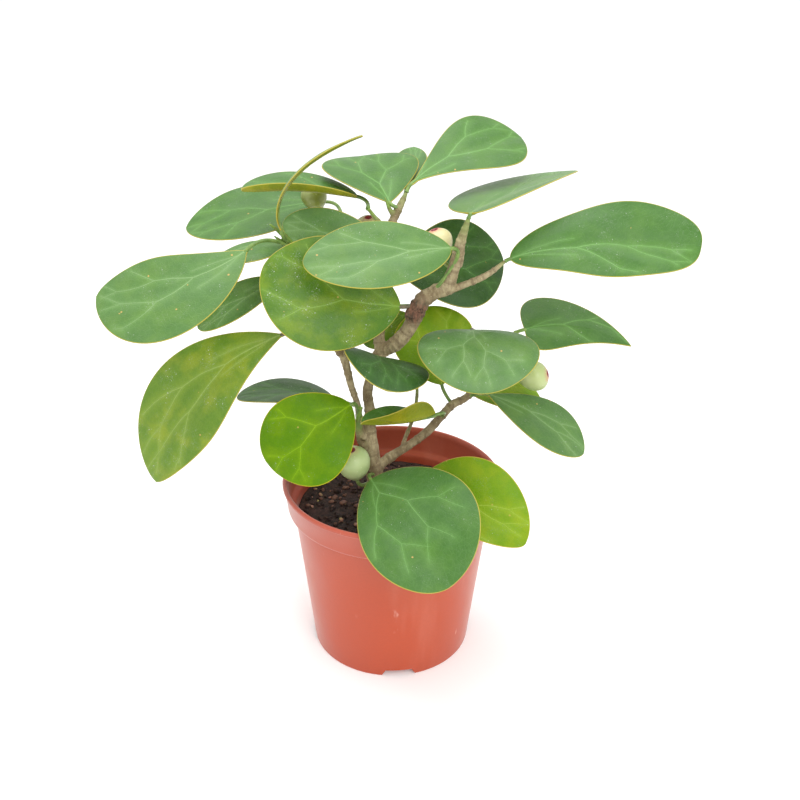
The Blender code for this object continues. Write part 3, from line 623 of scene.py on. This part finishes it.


# Leaves. Broad leathery blades, each on its own petiole, with a thin yellow margin, veins that fork again and again
# in place of side ribs, rust-coloured gland dots and a little white dust. Older leaves are deep green, some with a
# grey-white painted sheen for the reflection of the white room; younger ones are bright or yellow-green, the
# yellow-green ones with the glow of light shining through the blade painted in; and the undersides are pale olive.
# stem, base, tip: where the petiole leaves the bark, and the two ends of the blade. face: the way its top looks.
LEAVES = {
    "leaf_01": dict(stem=(-41, 7, 190), base=(-60, -4, 193), tip=(-122, -8, 174), face=(0, -1, 1), width=37, rise=4,
                    bow=3, sweep=-8, swell=1.3, round=0.6, lop=-0.2, tone="mid", fork=0.35, seed=1),
    "leaf_02": dict(stem=(-24, -3, 154), base=(-46, -8, 158), tip=(-102, -22, 94), face=(-0.3, -1, 0.8), width=40,
                    bow=5, sweep=11, swell=1.35, round=0.68, tone="fresh", fork=0.3, seed=2, dust=1.0, woody=1),
    "leaf_03": dict(stem=(12, -1, 171), base=(3, -5.5, 170), tip=(-52, -13.5, 190), face=(0, -2, 1.1), width=46,
                    bow=3, sweep=-3, swell=1.2, round=0.55, lop=-0.05, tone="warm", fork=0.42, seed=3, dust=1.0,
                    woody=1),
    "leaf_04": dict(stem=(15, -1, 173), base=(23, -7, 196), tip=(-35, -25, 195), face=(0.1, -0.8, 1), width=31,
                    bow=3, sweep=-1, swell=1.1, round=0.55, lop=-0.05, tone="mid", fork=0.3, seed=4),
    "leaf_05": dict(stem=(-43, 7, 193), base=(-46, 2, 200), tip=(-13, 14, 236), face=(-3.8, 0.56, 3.3), width=22,
                    bow=9.5, peak=0.36, swell=1.3, round=0.65, lop=0.7, fold=1, tone="fresh", fork=0.3, seed=5),
    "leaf_06": dict(stem=(-11, 14, 206), base=(-16, 27, 207.5), tip=(-65, 25, 210.5), face=(0, -0.12, 1), width=27,
                    bow=3, swell=1.2, round=0.45, tone="deep", fork=0.35, seed=6, curl=(110, 0)),
    "leaf_07": dict(stem=(-24, 32, 189.5), base=(-33.9, 60.5, 195.5), tip=(-95.2, 49.5, 185.6), face=(0, -0.3, 1),
                    width=42, bow=3, sweep=-2, swell=1.1, round=0.6, lop=-0.05, tone="deep", fork=0.4, seed=7),
    "leaf_08": dict(stem=(-2.2, 12.8, 190), base=(-6.5, 9, 193.5), tip=(-47, 17, 198.5), face=(0, -1.2, 1),
                    width=20, bow=1, swell=1.2, round=0.5, lop=-0.05, tone="mid", fork=0.35, seed=8),
    "leaf_09": dict(stem=(2, 15, 206), base=(-2, 16, 208), tip=(-16, 54, 218), face=(0, -0.1, 1), width=43, bow=2,
                    swell=1.5, round=0.55, fold=7, tone="deep", fork=0.3, seed=9),
    "leaf_10": dict(stem=(5, 18, 212), base=(7, 20, 215), tip=(55, 50, 228), face=(-0.2, -0.7, 1), width=36, bow=4,
                    sweep=-1.5, swell=2.0, round=0.6, tone="deep", fork=0.35, seed=10, dust=0.6),
    "leaf_11": dict(stem=(4, 17, 210), base=(5, 32, 210), tip=(8.5, 75, 217.7), face=(0, -0.2, 1), width=14, bow=1,
                    swell=1.4, round=0.6, tone="deep", fork=0.35, seed=11),
    "leaf_12": dict(stem=(30, -2, 207), base=(31, -1.5, 208.7), tip=(78, 40, 216), face=(-0.24, 0.11, 0.96),
                    width=40, rise=0, bow=1.5, swell=0.7, round=0.5, lop=-0.3, tone="mid", fork=0.35, seed=12),
    "leaf_13": dict(stem=(46, 0, 188.5), base=(48, 0, 189.5), tip=(124, -6, 197), face=(0.1, -1, 1), width=33,
                    bow=1, sweep=-5, swell=1.5, round=0.36, wave=1.5, tone="deep", fork=0.35, seed=13, quilt=0.8),
    "leaf_14": dict(stem=(-3, 13, 184), base=(0, 26, 176), tip=(49, 40, 176), face=(0, -1, 0.8), width=42, bow=3,
                    swell=1.3, round=0.6, lop=0.1, tone="dark", fork=0.35, seed=14),
    "leaf_15": dict(stem=(54, 18, 149), base=(58, 17, 151), tip=(104.5, 10, 146.5), face=(0.1, -1, 1), width=29,
                    sweep=-5, swell=0.42, round=0.9, lop=-0.28, fold=-22, tone="deep", fork=0.35, seed=15),
    "leaf_16": dict(stem=(49, 18, 138), base=(34, 7, 154.5), tip=(36, -28, 141), face=(0.1, -0.9, 1), width=51,
                    bow=6, swell=1.1, round=0.5, tone="mid", fork=0.25, seed=16, dust=0.8, woody=1, quilt=1.0),
    "leaf_17": dict(stem=(-9, 0, 138), base=(-7, -5, 147), tip=(-2, -29, 142.5), face=(0.4, -0.08, 0.91), width=39,
                    bow=4, swell=0.95, round=0.45, tone="dark", fork=0.2, seed=17),
    "leaf_18": dict(stem=(-15, -7, 113), base=(-18, -9, 126), tip=(-54, -22, 105), face=(-0.1, -2, 1), width=40,
                    bow=5, swell=1.2, round=0.52, lop=-0.12, tone="yellow_green_through_lit", fork=0.4, seed=18),
    "leaf_19": dict(stem=(22, 8, 112), base=(19, -5, 119.5), tip=(-13.5, -15, 120), face=(-0.01, 0.08, 1),
                    width=19.5, bow=-2, swell=0.8, round=0.42, lop=0, fold=45, twist=-60, tone="deep", fork=0.35,
                    seed=19),
    "leaf_20": dict(stem=(-7, -4, 88), base=(-9, -20, 95), tip=(24.5, -74, 79), face=(-0.33, -0.45, 0.83), width=50,
                    bow=6, swell=1.3, round=0.48, lop=-0.18, tone="deep", fork=0.17, seed=20, dust=0.5),
    "leaf_21": dict(stem=(-7, -4, 84), base=(11, -19, 92), tip=(56.5, -45, 79.5), face=(-0.25, -0.73, 0.63),
                    width=32, bow=9, sweep=0, swell=1.05, round=0.53, lop=-0.45, tone="young_through_lit", fork=0.3, seed=21),
    "leaf_22": dict(stem=(33, 13, 119), base=(43, 10, 122), tip=(85, -6, 101), face=(0, -0.3, 1), width=27, bow=3,
                    swell=1.4, round=0.6, lop=-0.05, tone="mid", fork=0.4, seed=22),
    "leaf_23": dict(stem=(-15, -6, 123), base=(-27, 14, 117), tip=(-70, 8, 120), face=(0, 0.05, 1), width=28, bow=3,
                    swell=1.0, round=0.5, tone="dark", fork=0.35, seed=23),
    "leaf_24": dict(stem=(27, 10, 117), base=(22, 14, 125), tip=(15, 26, 158), face=(0, -2, 0.6), width=36,
                    bow=3, swell=1.3, round=0.55, tone="young_through_lit", fork=0.35, seed=24),
    "leaf_25": dict(stem=(31, 12, 119), base=(37, 22, 116), tip=(69, 26, 112), face=(0, -0.3, 1), width=24,
                    bow=2, swell=1.3, round=0.55, tone="young_through_lit", fork=0.35, seed=25),
    "leaf_26": dict(stem=(-38, 7, 184), base=(-50, 8, 176), tip=(-83, 0, 157), face=(0, -1, 1), width=15, bow=3,
                    swell=1.0, round=0.5, tone="mid", fork=0.35, seed=26),
    "leaf_27": dict(stem=(-41, 7, 190), base=(-44, 14, 190), tip=(-73, 8, 187), face=(0, -0.3, 1), width=16, bow=3,
                    swell=1.2, round=0.55, lop=-0.75, tone="mid", fork=0.35, seed=27),
    "leaf_28": dict(stem=(-6, 7, 164), base=(6, 32, 152), tip=(-14, 30, 138), face=(0, -1, 0.7), width=16, bow=2,
                    swell=1.2, round=0.55, tone="warm", fork=0.35, seed=28),
}
BLADE_MID = 0.95
BLADE_EDGE = 0.42
PETIOLE_RADIUS = 0.8
STATIONS = 64
COLUMNS = 45
# The main vein runs for the leaf's own "fork" share of its length. Then it forks again and again: these are the shares
# that the branches of each further level run for, and the width of a vein at each level, in mm
VEIN_RUNS = (0.27, 0.24, 0.20)
VEIN_WIDTHS = (0.58, 0.42, 0.30, 0.20)
# Values of the vein and rim marks on a vein itself, on the very margin, and well inside the blade
ON_VEIN = -1.0
ON_RIM = -0.2
INNER = 9.0
# A blade that curls bends beyond this share of its half width
CURL_FROM = 0.55


class Blade:
    """The shape of one leaf blade: s runs from base to tip and v from one margin (-1) to the other (1)."""

    def __init__(self, spec):
        self.spec = spec
        self.base = np.array(spec["base"], float)
        self.chord = np.array(spec["tip"], float) - self.base
        self.length = np.linalg.norm(self.chord)
        normal = np.array(spec["face"], float)
        self.normal = unit(normal - unit(self.chord) * np.dot(normal, unit(self.chord)))
        self.side = np.cross(unit(self.chord), self.normal)
        self.power = math.log(0.5) / math.log(spec.get("peak", 0.5))

    def middle(self, u):
        bump = 4 * u ** self.power * (1 - u ** self.power)
        return (self.base + np.outer(u, self.chord) + np.outer(self.spec.get("bow", 0) * bump, self.normal)
                + np.outer(self.spec.get("sweep", 0) * 4 * u * (1 - u), self.side))

    def reach(self, u, v):
        half = self.spec["width"] / 2 * np.sin(np.pi * np.clip(u, 0, 1) ** self.spec["swell"]) ** self.spec["round"]
        half = np.maximum(half, np.where(u < 0.3, PETIOLE_RADIUS, 0.05))
        return half * (1 + self.spec.get("lop", 0) * np.sign(v))

    def section(self, u, v):
        """Way out, way up and slope of the cross section: it rises at the fold angle, and may curl beyond the bend."""
        reach = self.reach(u, v)
        fold = math.radians(self.spec.get("fold", 5))
        curl_left, curl_right = self.spec.get("curl", (0, 0))
        curl = np.radians(np.where(v < 0, curl_left, curl_right)) + 1e-6
        flat = np.minimum(np.abs(v), CURL_FROM) * reach
        turn = curl * np.maximum(np.abs(v) - CURL_FROM, 0) / (1 - CURL_FROM)
        radius = reach * (1 - CURL_FROM) / curl
        out = flat * math.cos(fold) + radius * (np.sin(fold + turn) - math.sin(fold))
        lift = flat * math.sin(fold) + radius * (math.cos(fold) - np.cos(fold + turn))
        return out * np.sign(v), lift, turn * np.sign(v)

    def surface(self, u, v):
        """Places on the blade's middle sheet, the way across it there, and the way up, for arrays u and v."""
        spec = self.spec
        step = 0.004
        low, high = np.clip(u - step, 0.0001, 1), np.clip(u + step, 0.0001, 1)
        along = self.middle(high) - self.middle(low)
        along /= np.linalg.norm(along, axis=1)[:, None]
        across = self.side - along * (along @ self.side)[:, None]
        across /= np.linalg.norm(across, axis=1)[:, None]
        up = np.cross(across, along)
        across, up = turned(across, up, math.radians(spec.get("twist", 0)) * (1 - u) ** 2)
        out, lift, turn = self.section(u, v)
        ripple = 3 * np.pi * u + np.where(v > 0, 0, 1.9)
        lift = lift + spec.get("wave", 0) * v * v * np.sin(ripple) * np.sin(np.pi * u)
        place = self.middle(u) + across * out[:, None] + up * lift[:, None]
        return (place, *turned(across, up, turn))


def turned(across, up, angle):
    """The two directions, turned round the blade's length."""
    c, s = np.cos(angle)[:, None], np.sin(angle)[:, None]
    return across * c + up * s, up * c - across * s


def vein_tree(blade, spec):
    """Forking veins as lists of (along, across, width) in mm, from the base outwards."""
    pick = np.random.default_rng(spec["seed"])
    length = blade.length
    veins = []

    def inside(s, t):
        reach = float(blade.reach(np.array([s / length]), np.array([math.copysign(1, t)]))[0])
        return s < 0.97 * length and abs(t) < 0.90 * reach

    def grow(s, t, heading, run, level, bend):
        width = VEIN_WIDTHS[level]
        line = [(s, t, width)]
        steps = max(int(run / 1.5), 3)
        for k in range(steps):
            heading += bend / steps + pick.normal(0, 0.03)
            s += run / steps * math.cos(heading)
            t += run / steps * math.sin(heading)
            if not inside(s, t):
                break
            line.append((s, t, width * (1 - 0.3 * (k + 1) / steps)))
        veins.append(line)
        if len(line) <= steps or level == len(VEIN_RUNS):
            return
        wide = 0.42 + 0.14 * pick.random()
        share = pick.uniform(0.38, 0.62)
        for turn in (wide * share * 2, -wide * (1 - share) * 2):
            grow(s, t, heading + turn * spread, VEIN_RUNS[level] * length * pick.uniform(0.85, 1.15), level + 1,
                 -turn * 0.35 + pick.normal(0, 0.08))

    spread = min(1.25, 1.5 * spec["width"] / length)
    grow(0.0, 0.0, spec.get("lean", 0.0), spec["fork"] * length, 0, 0.0)
    for side in (-1, 1):
        grow(0.05 * length, 0.0, side * 0.45 * spread, 0.30 * length, len(VEIN_RUNS), -side * 0.25)
    return veins


def segment_distance(points, lines):
    """Distance of each point to the nearest stretch of the lines, on the flat blade."""
    nearest = np.full(len(points), 1e9)
    for line in lines:
        p = np.array(line)[:, :2]
        for a, b in zip(p, p[1:]):
            way = b - a
            share = np.clip(((points - a) @ way) / (way @ way + 1e-9), 0, 1)
            nearest = np.minimum(nearest, np.linalg.norm(points - a - share[:, None] * way, axis=1))
    return nearest


def ribbon(vertex, shape, places, normals, lays, widths, slot):
    """A thin strip that lies on the blade along a vein."""
    way = np.gradient(places, axis=0)
    last = None
    for place, normal, lay_at, along, width in zip(places, normals, lays, way, widths):
        across = unit(np.cross(normal, along)) * width / 2
        pair = [vertex(place + across, lay_at, ON_VEIN, INNER), vertex(place - across, lay_at, ON_VEIN, INNER)]
        if last:
            face = shape.faces.new((last[0], last[1], pair[1], pair[0]))
            face.material_index = slot
            face.smooth = True
        last = pair


def grid_sample(grid, u_index, v_index):
    """Bilinear value of a grid at fractional rows and columns."""
    i = np.clip(np.floor(u_index).astype(int), 0, grid.shape[0] - 2)
    j = np.clip(np.floor(v_index).astype(int), 0, grid.shape[1] - 2)
    a, b = (u_index - i)[:, None], (v_index - j)[:, None]
    return ((grid[i, j] * (1 - a) + grid[i + 1, j] * a) * (1 - b)
            + (grid[i, j + 1] * (1 - a) + grid[i + 1, j + 1] * a) * b)


def leaf(name, spec, looks):
    blade = Blade(spec)
    number = int(name[-2:])
    us = (1 - np.cos(np.pi * np.linspace(0.004, 0.9995, STATIONS))) / 2
    w = np.linspace(-1, 1, COLUMNS)
    vs = 0.45 * w + 0.55 * np.sin(np.pi / 2 * w)
    u, v = [g.ravel() for g in np.meshgrid(us, vs, indexing="ij")]
    place, across, up = blade.surface(u, v)
    flat = np.stack([u * blade.length, blade.reach(u, v) * v], axis=1)
    veins = vein_tree(blade, spec)
    main = [line for line in veins if line[0][2] > 0.2]
    vein_away = segment_distance(flat, veins)
    main_away = segment_distance(flat, main)
    edge_u = (1 - np.cos(np.pi * np.linspace(0, 1, 200))) / 2
    outline = [np.stack([edge_u * blade.length, blade.reach(edge_u, np.full(200, side)) * side], axis=1)
               for side in (-1.0, 1.0)]
    rim_away = segment_distance(flat, outline)
    calm = np.clip(rim_away / 6, 0, 1)
    quilt = spec.get("quilt", 0.45) * (1 - np.exp(-(main_away / 4.5) ** 2)) * calm
    relief = quilt + 0.25 * spec.get("quilt", 0.45) * (1 - np.exp(-(vein_away / 1.6) ** 2)) * calm
    thick = (BLADE_EDGE + (BLADE_MID - BLADE_EDGE) * (1 - v * v)) / 2
    top = place + up * (thick + relief)[:, None]
    under = place + up * (relief - thick)[:, None]
    top, under, ups, sides = [g.reshape(STATIONS, COLUMNS, 3) for g in (top, under, up, across)]
    reach = blade.reach(u, v).reshape(STATIONS, COLUMNS)

    shape = bmesh.new()
    vein_mark, rim_mark = [shape.verts.layers.float.new(key) for key in ("vein", "rim")]
    lay_mark = shape.verts.layers.float_vector.new("lay")
    vein_grid, rim_grid = vein_away.reshape(STATIONS, COLUMNS), rim_away.reshape(STATIONS, COLUMNS)
    lays = flat.reshape(STATIONS, COLUMNS, 2)

    def vertex(point, lay_at, vein, rim):
        made = shape.verts.new(tuple(point * MM))
        made[vein_mark] = vein
        made[rim_mark] = rim
        made[lay_mark] = (*lay_at, 37.0 * number)
        return made

    rows = []
    edge = sides * BLADE_EDGE / 2
    middle = (top + under) / 2
    for i in range(STATIONS):
        here = range(COLUMNS)
        row = [vertex(top[i, j], lays[i, j], vein_grid[i, j], rim_grid[i, j]) for j in here]
        row.append(vertex(middle[i, -1] + edge[i, -1], lays[i, -1], INNER, ON_RIM))
        row += [vertex(under[i, j], lays[i, j], vein_grid[i, j], rim_grid[i, j]) for j in reversed(here)]
        row.append(vertex(middle[i, 0] - edge[i, 0], lays[i, 0], INNER, ON_RIM))
        rows.append(row)
    around = len(rows[0])
    for here, there in zip(rows, rows[1:]):
        for k in range(around):
            j = (k + 1) % around
            face = shape.faces.new((here[k], here[j], there[j], there[k]))
            face.material_index = 1 if COLUMNS <= k < 2 * COLUMNS else 0
            face.smooth = True
    shape.faces.new(rows[0][::-1])
    shape.faces.new(rows[-1])

    for line in veins:
        if len(line) < 3:
            continue
        s, t, width = np.array(line).T
        line_u = s / blade.length
        line_v = t / blade.reach(line_u, np.sign(t) + (t == 0))
        rows_at, columns_at = np.interp(line_u, us, np.arange(STATIONS)), np.interp(line_v, vs, np.arange(COLUMNS))
        normals = grid_sample(ups, rows_at, columns_at)
        on_top = grid_sample(top, rows_at, columns_at) + normals * 0.05
        below = grid_sample(under, rows_at, columns_at) - normals * 0.07
        line_lays = np.stack([s, t], axis=1)
        ribbon(vertex, shape, on_top, normals, line_lays, width, 0)
        ribbon(vertex, shape, below, -normals, line_lays, width * 1.5, 1)

    start, end = np.array(spec["stem"], float), blade.middle(np.array([0.0]))[0]
    leave = unit(blade.middle(np.array([0.15]))[0] - end)
    bend = end - leave * 0.4 * np.linalg.norm(end - start) + np.array([0, 0, spec.get("rise", 0)])
    shares = np.linspace(0, 1, 22)
    line = [(1 - s) ** 2 * start + 2 * s * (1 - s) * bend + s * s * end for s in shares]
    radii = [PETIOLE_RADIUS * (1.25 - 0.25 * min(1, s * 5)) for s in shares]
    rib_u = np.array([0.02, 0.05, 0.09, 0.14, 0.2])
    rib = blade.surface(rib_u, np.zeros(5))
    line += list(rib[0] - rib[2] * 0.35)
    radii += [0.75, 0.65, 0.52, 0.38, 0.2]
    tube(shape, line, radii, 14, 2)

    piece = finish_mesh(name + "_blade", shape, looks, [name])
    return piece


def group_socket(group, name, kind, inward, default=None):
    socket = group.interface.new_socket(name, in_out="INPUT" if inward else "OUTPUT", socket_type="NodeSocket" + kind)
    if default is not None:
        socket.default_value = default


skin = bpy.data.node_groups.new("leaf_skin", "ShaderNodeTree")
for socket, default in (("Dark", rgb(0.03, 0.13, 0.03)), ("Light", rgb(0.06, 0.2, 0.04)),
                        ("Yellow", rgb(0.3, 0.4, 0.02)), ("Vein", rgb(0.2, 0.4, 0.1)),
                        ("Margin", rgb(0.55, 0.42, 0.05))):
    group_socket(skin, socket, "Color", True, default)
for socket, default in (("Yellowing", 0.0), ("Dots", 0.6), ("Dust", 0.3), ("Bloom", 0.2)):
    group_socket(skin, socket, "Float", True, default)
group_socket(skin, "Color", "Color", False)
group_socket(skin, "Roughness", "Float", False)
group_socket(skin, "Height", "Float", False)
g = Tree(skin)
given = skin.nodes.new("NodeGroupInput").outputs
lay = read(g, "lay", "Vector")
blotch = g.noise(lay, 0.09, 3.0)
cloudy = g.noise(lay, 0.28, 4.0, 0.6)
fine = g.noise(lay, 2.4, 3.0, 0.6)
net = g.ramp(g.cells(lay, 0.55, "DISTANCE_TO_EDGE"), 0.0, 0.10, 1.0, 0.0)
panel = g.ramp(read(g, "vein"), 0.2, 4.5, 0.7, 0.0)
light_share = g.math("ADD", g.math("MULTIPLY", g.ramp(cloudy, 0.25, 0.75), 0.4), panel)
green = g.mix(light_share, given["Dark"], given["Light"])
yellow_share = g.math("MULTIPLY", g.ramp(blotch, 0.42, 0.68), given["Yellowing"])
green = g.mix(yellow_share, green, given["Yellow"])
halo = g.math("MAXIMUM", g.ramp(read(g, "vein"), 0.0, 1.2, 0.26, 0.0), g.ramp(read(g, "vein"), -0.9, -0.1, 0.8, 0.0))
green = g.mix(halo, green, given["Vein"])
green = g.mix(g.math("MULTIPLY", net, 0.07), green, given["Vein"])
green = g.mix(g.ramp(fine, 0.35, 0.7, 0.0, 0.14), green, rgb(0.02, 0.06, 0.02))
# Painted sheen: noise patches mixed towards grey-white stand in for the soft reflection of the white room on the blade;
# each finish sets how strong it is.
painted_sheen = g.math("MULTIPLY", g.ramp(g.noise(lay, 0.07, 2.0), 0.35, 0.7, 0.35, 1.0), given["Bloom"])
green = g.mix(painted_sheen, green, rgb(0.36, 0.42, 0.36))
chosen = g.math("GREATER_THAN", g.noise(g.stretched(lay, (1.0, 1.0, 1.0)), 0.21, 1.0), 0.5)
dot = g.ramp(g.cells(lay, 0.17), 0.045, 0.085, 1.0, 0.0)
green = g.mix(g.math("MULTIPLY", g.math("MULTIPLY", dot, given["Dots"]), chosen), green, rgb(0.62, 0.38, 0.12))
speck = g.ramp(g.cells(lay, 0.62), 0.075, 0.13, 1.0, 0.0)
patch = g.ramp(g.noise(lay, 0.13, 3.0, 0.7), 0.50, 0.62)
powder = g.math("MULTIPLY", g.math("MULTIPLY", speck, patch), given["Dust"])
film = g.math("MULTIPLY", g.math("MULTIPLY", g.ramp(fine, 0.52, 0.75), patch), g.math("MULTIPLY", given["Dust"], 0.35))
white = g.math("MAXIMUM", powder, film)
green = g.mix(white, green, rgb(0.78, 0.80, 0.74))
green = g.mix(g.ramp(read(g, "rim"), 0.04, 0.24, 1.0, 0.0), green, given["Margin"])
out = skin.nodes.new("NodeGroupOutput").inputs
g.link(green, out["Color"])
rough = g.ramp(cloudy, 0.3, 0.7, 0.38, 0.48)
g.link(g.math("ADD", rough, g.math("MULTIPLY", white, 0.35)), out["Roughness"])
relief = g.math("ADD", g.math("MULTIPLY", fine, 0.35), g.math("MULTIPLY", net, -0.5))
relief = g.math("SUBTRACT", relief, g.math("MULTIPLY", halo, 0.8))
g.link(relief, out["Height"])


def leaf_look(name, strength=0.35, coat=0.08, gloss=0.3, **colours):
    """One finish made from the leaf_skin group; colours name the group's inputs."""
    look, t, shader = material(name)
    made = t.add("Group")
    made.node_tree = skin
    for key, value in colours.items():
        made.inputs[key].default_value = value
    t.link(made.outputs["Color"], shader.inputs["Base Color"])
    t.link(made.outputs["Roughness"], shader.inputs["Roughness"])
    bump(t, shader, made.outputs["Height"], strength, 0.0003)
    shader.inputs["Specular IOR Level"].default_value = gloss
    shader.inputs["Coat Weight"].default_value = coat
    shader.inputs["Coat Roughness"].default_value = 0.30
    return look


YELLOW_EDGE = rgb(0.42, 0.36, 0.05)
# The last value of each finish sets how much grey-white painted sheen it gets.
TOPS = {
    "mid": leaf_look("leaf_top_mid", Dark=rgb(0.072, 0.175, 0.034), Light=rgb(0.105, 0.230, 0.052),
                     Yellow=rgb(0.17, 0.30, 0.04), Vein=rgb(0.24, 0.40, 0.15), Margin=YELLOW_EDGE, Yellowing=0.25,
                     Dots=0.8, Dust=0.5, Bloom=0.04),
    "deep": leaf_look("leaf_top_deep", Dark=rgb(0.040, 0.135, 0.010), Light=rgb(0.066, 0.185, 0.020),
                      Yellow=rgb(0.12, 0.26, 0.02), Vein=rgb(0.17, 0.37, 0.09), Margin=YELLOW_EDGE, Yellowing=0.2,
                      Dots=0.8, Dust=0.4, Bloom=0.05),
    "dark": leaf_look("leaf_top_dark", Dark=rgb(0.018, 0.072, 0.004), Light=rgb(0.034, 0.112, 0.010),
                      Yellow=rgb(0.08, 0.18, 0.01), Vein=rgb(0.10, 0.25, 0.05), Margin=YELLOW_EDGE, Yellowing=0.15,
                      Dots=0.5, Dust=0.4, Bloom=0.05),
    "warm": leaf_look("leaf_top_warm", Dark=rgb(0.055, 0.150, 0.002), Light=rgb(0.100, 0.210, 0.006),
                      Yellow=rgb(0.21, 0.30, 0.005), Vein=rgb(0.22, 0.38, 0.05), Margin=YELLOW_EDGE, Yellowing=0.5,
                      Dots=0.7, Dust=1.0, Bloom=0.0),
    "fresh": leaf_look("leaf_top_fresh", Dark=rgb(0.100, 0.205, 0.012), Light=rgb(0.165, 0.270, 0.022),
                       Yellow=rgb(0.30, 0.35, 0.02), Vein=rgb(0.30, 0.42, 0.10), Margin=YELLOW_EDGE, Yellowing=0.5,
                       Dots=0.7, Dust=0.7, Bloom=0.0),
    # These two finishes are the colour of bright yellow-green young leaves, and the glow of light shining through the
    # thin blade is painted into that colour as well.
    "yellow_green_through_lit": leaf_look("leaf_top_yellow_green_through_lit", gloss=0.1, coat=0.0, Dark=rgb(0.080, 0.195, 0.001),
                      Light=rgb(0.112, 0.240, 0.001), Yellow=rgb(0.19, 0.30, 0.001), Vein=rgb(0.24, 0.42, 0.01),
                      Margin=rgb(0.46, 0.42, 0.02), Yellowing=0.3, Dots=0.5, Dust=0.35, Bloom=0.0),
    "young_through_lit": leaf_look("leaf_top_young_through_lit", gloss=0.15, coat=0.0, Dark=rgb(0.13, 0.26, 0.003),
                        Light=rgb(0.18, 0.31, 0.008), Yellow=rgb(0.30, 0.36, 0.008), Vein=rgb(0.32, 0.46, 0.05),
                        Margin=rgb(0.50, 0.40, 0.05), Yellowing=0.4, Dots=0.4, Dust=0.3, Bloom=0.0),
}
under_look = leaf_look("leaf_underside", strength=0.5, coat=0.0, gloss=0.15, Dark=rgb(0.17, 0.21, 0.008),
                       Light=rgb(0.25, 0.28, 0.015), Yellow=rgb(0.36, 0.31, 0.012), Vein=rgb(0.34, 0.36, 0.08), Margin=YELLOW_EDGE, Yellowing=0.5,
                       Dots=0.2, Dust=0.0, Bloom=0.0)


def stalk_look(name, low, high):
    """Smooth petiole skin with faint lengthwise streaks."""
    look, t, shader = material(name)
    place = t.add("TexCoord").outputs["Object"]
    streak = t.noise(t.stretched(place, (1.0, 1.0, 0.5)), 420.0, 3.0)
    t.link(t.mix(t.ramp(streak, 0.35, 0.65), low, high), shader.inputs["Base Color"])
    t.link(t.ramp(streak, 0.3, 0.7, 0.40, 0.55), shader.inputs["Roughness"])
    bump(t, shader, streak, 0.3, 0.0002)
    return look


green_stalk = stalk_look("green_petiole", rgb(0.10, 0.19, 0.035), rgb(0.20, 0.31, 0.07))
woody_stalk = stalk_look("woody_petiole", rgb(0.075, 0.065, 0.035), rgb(0.17, 0.14, 0.075))

for name, spec in LEAVES.items():
    leaf(name, spec, [TOPS[spec["tone"]], under_look, woody_stalk if spec.get("woody") else green_stalk])
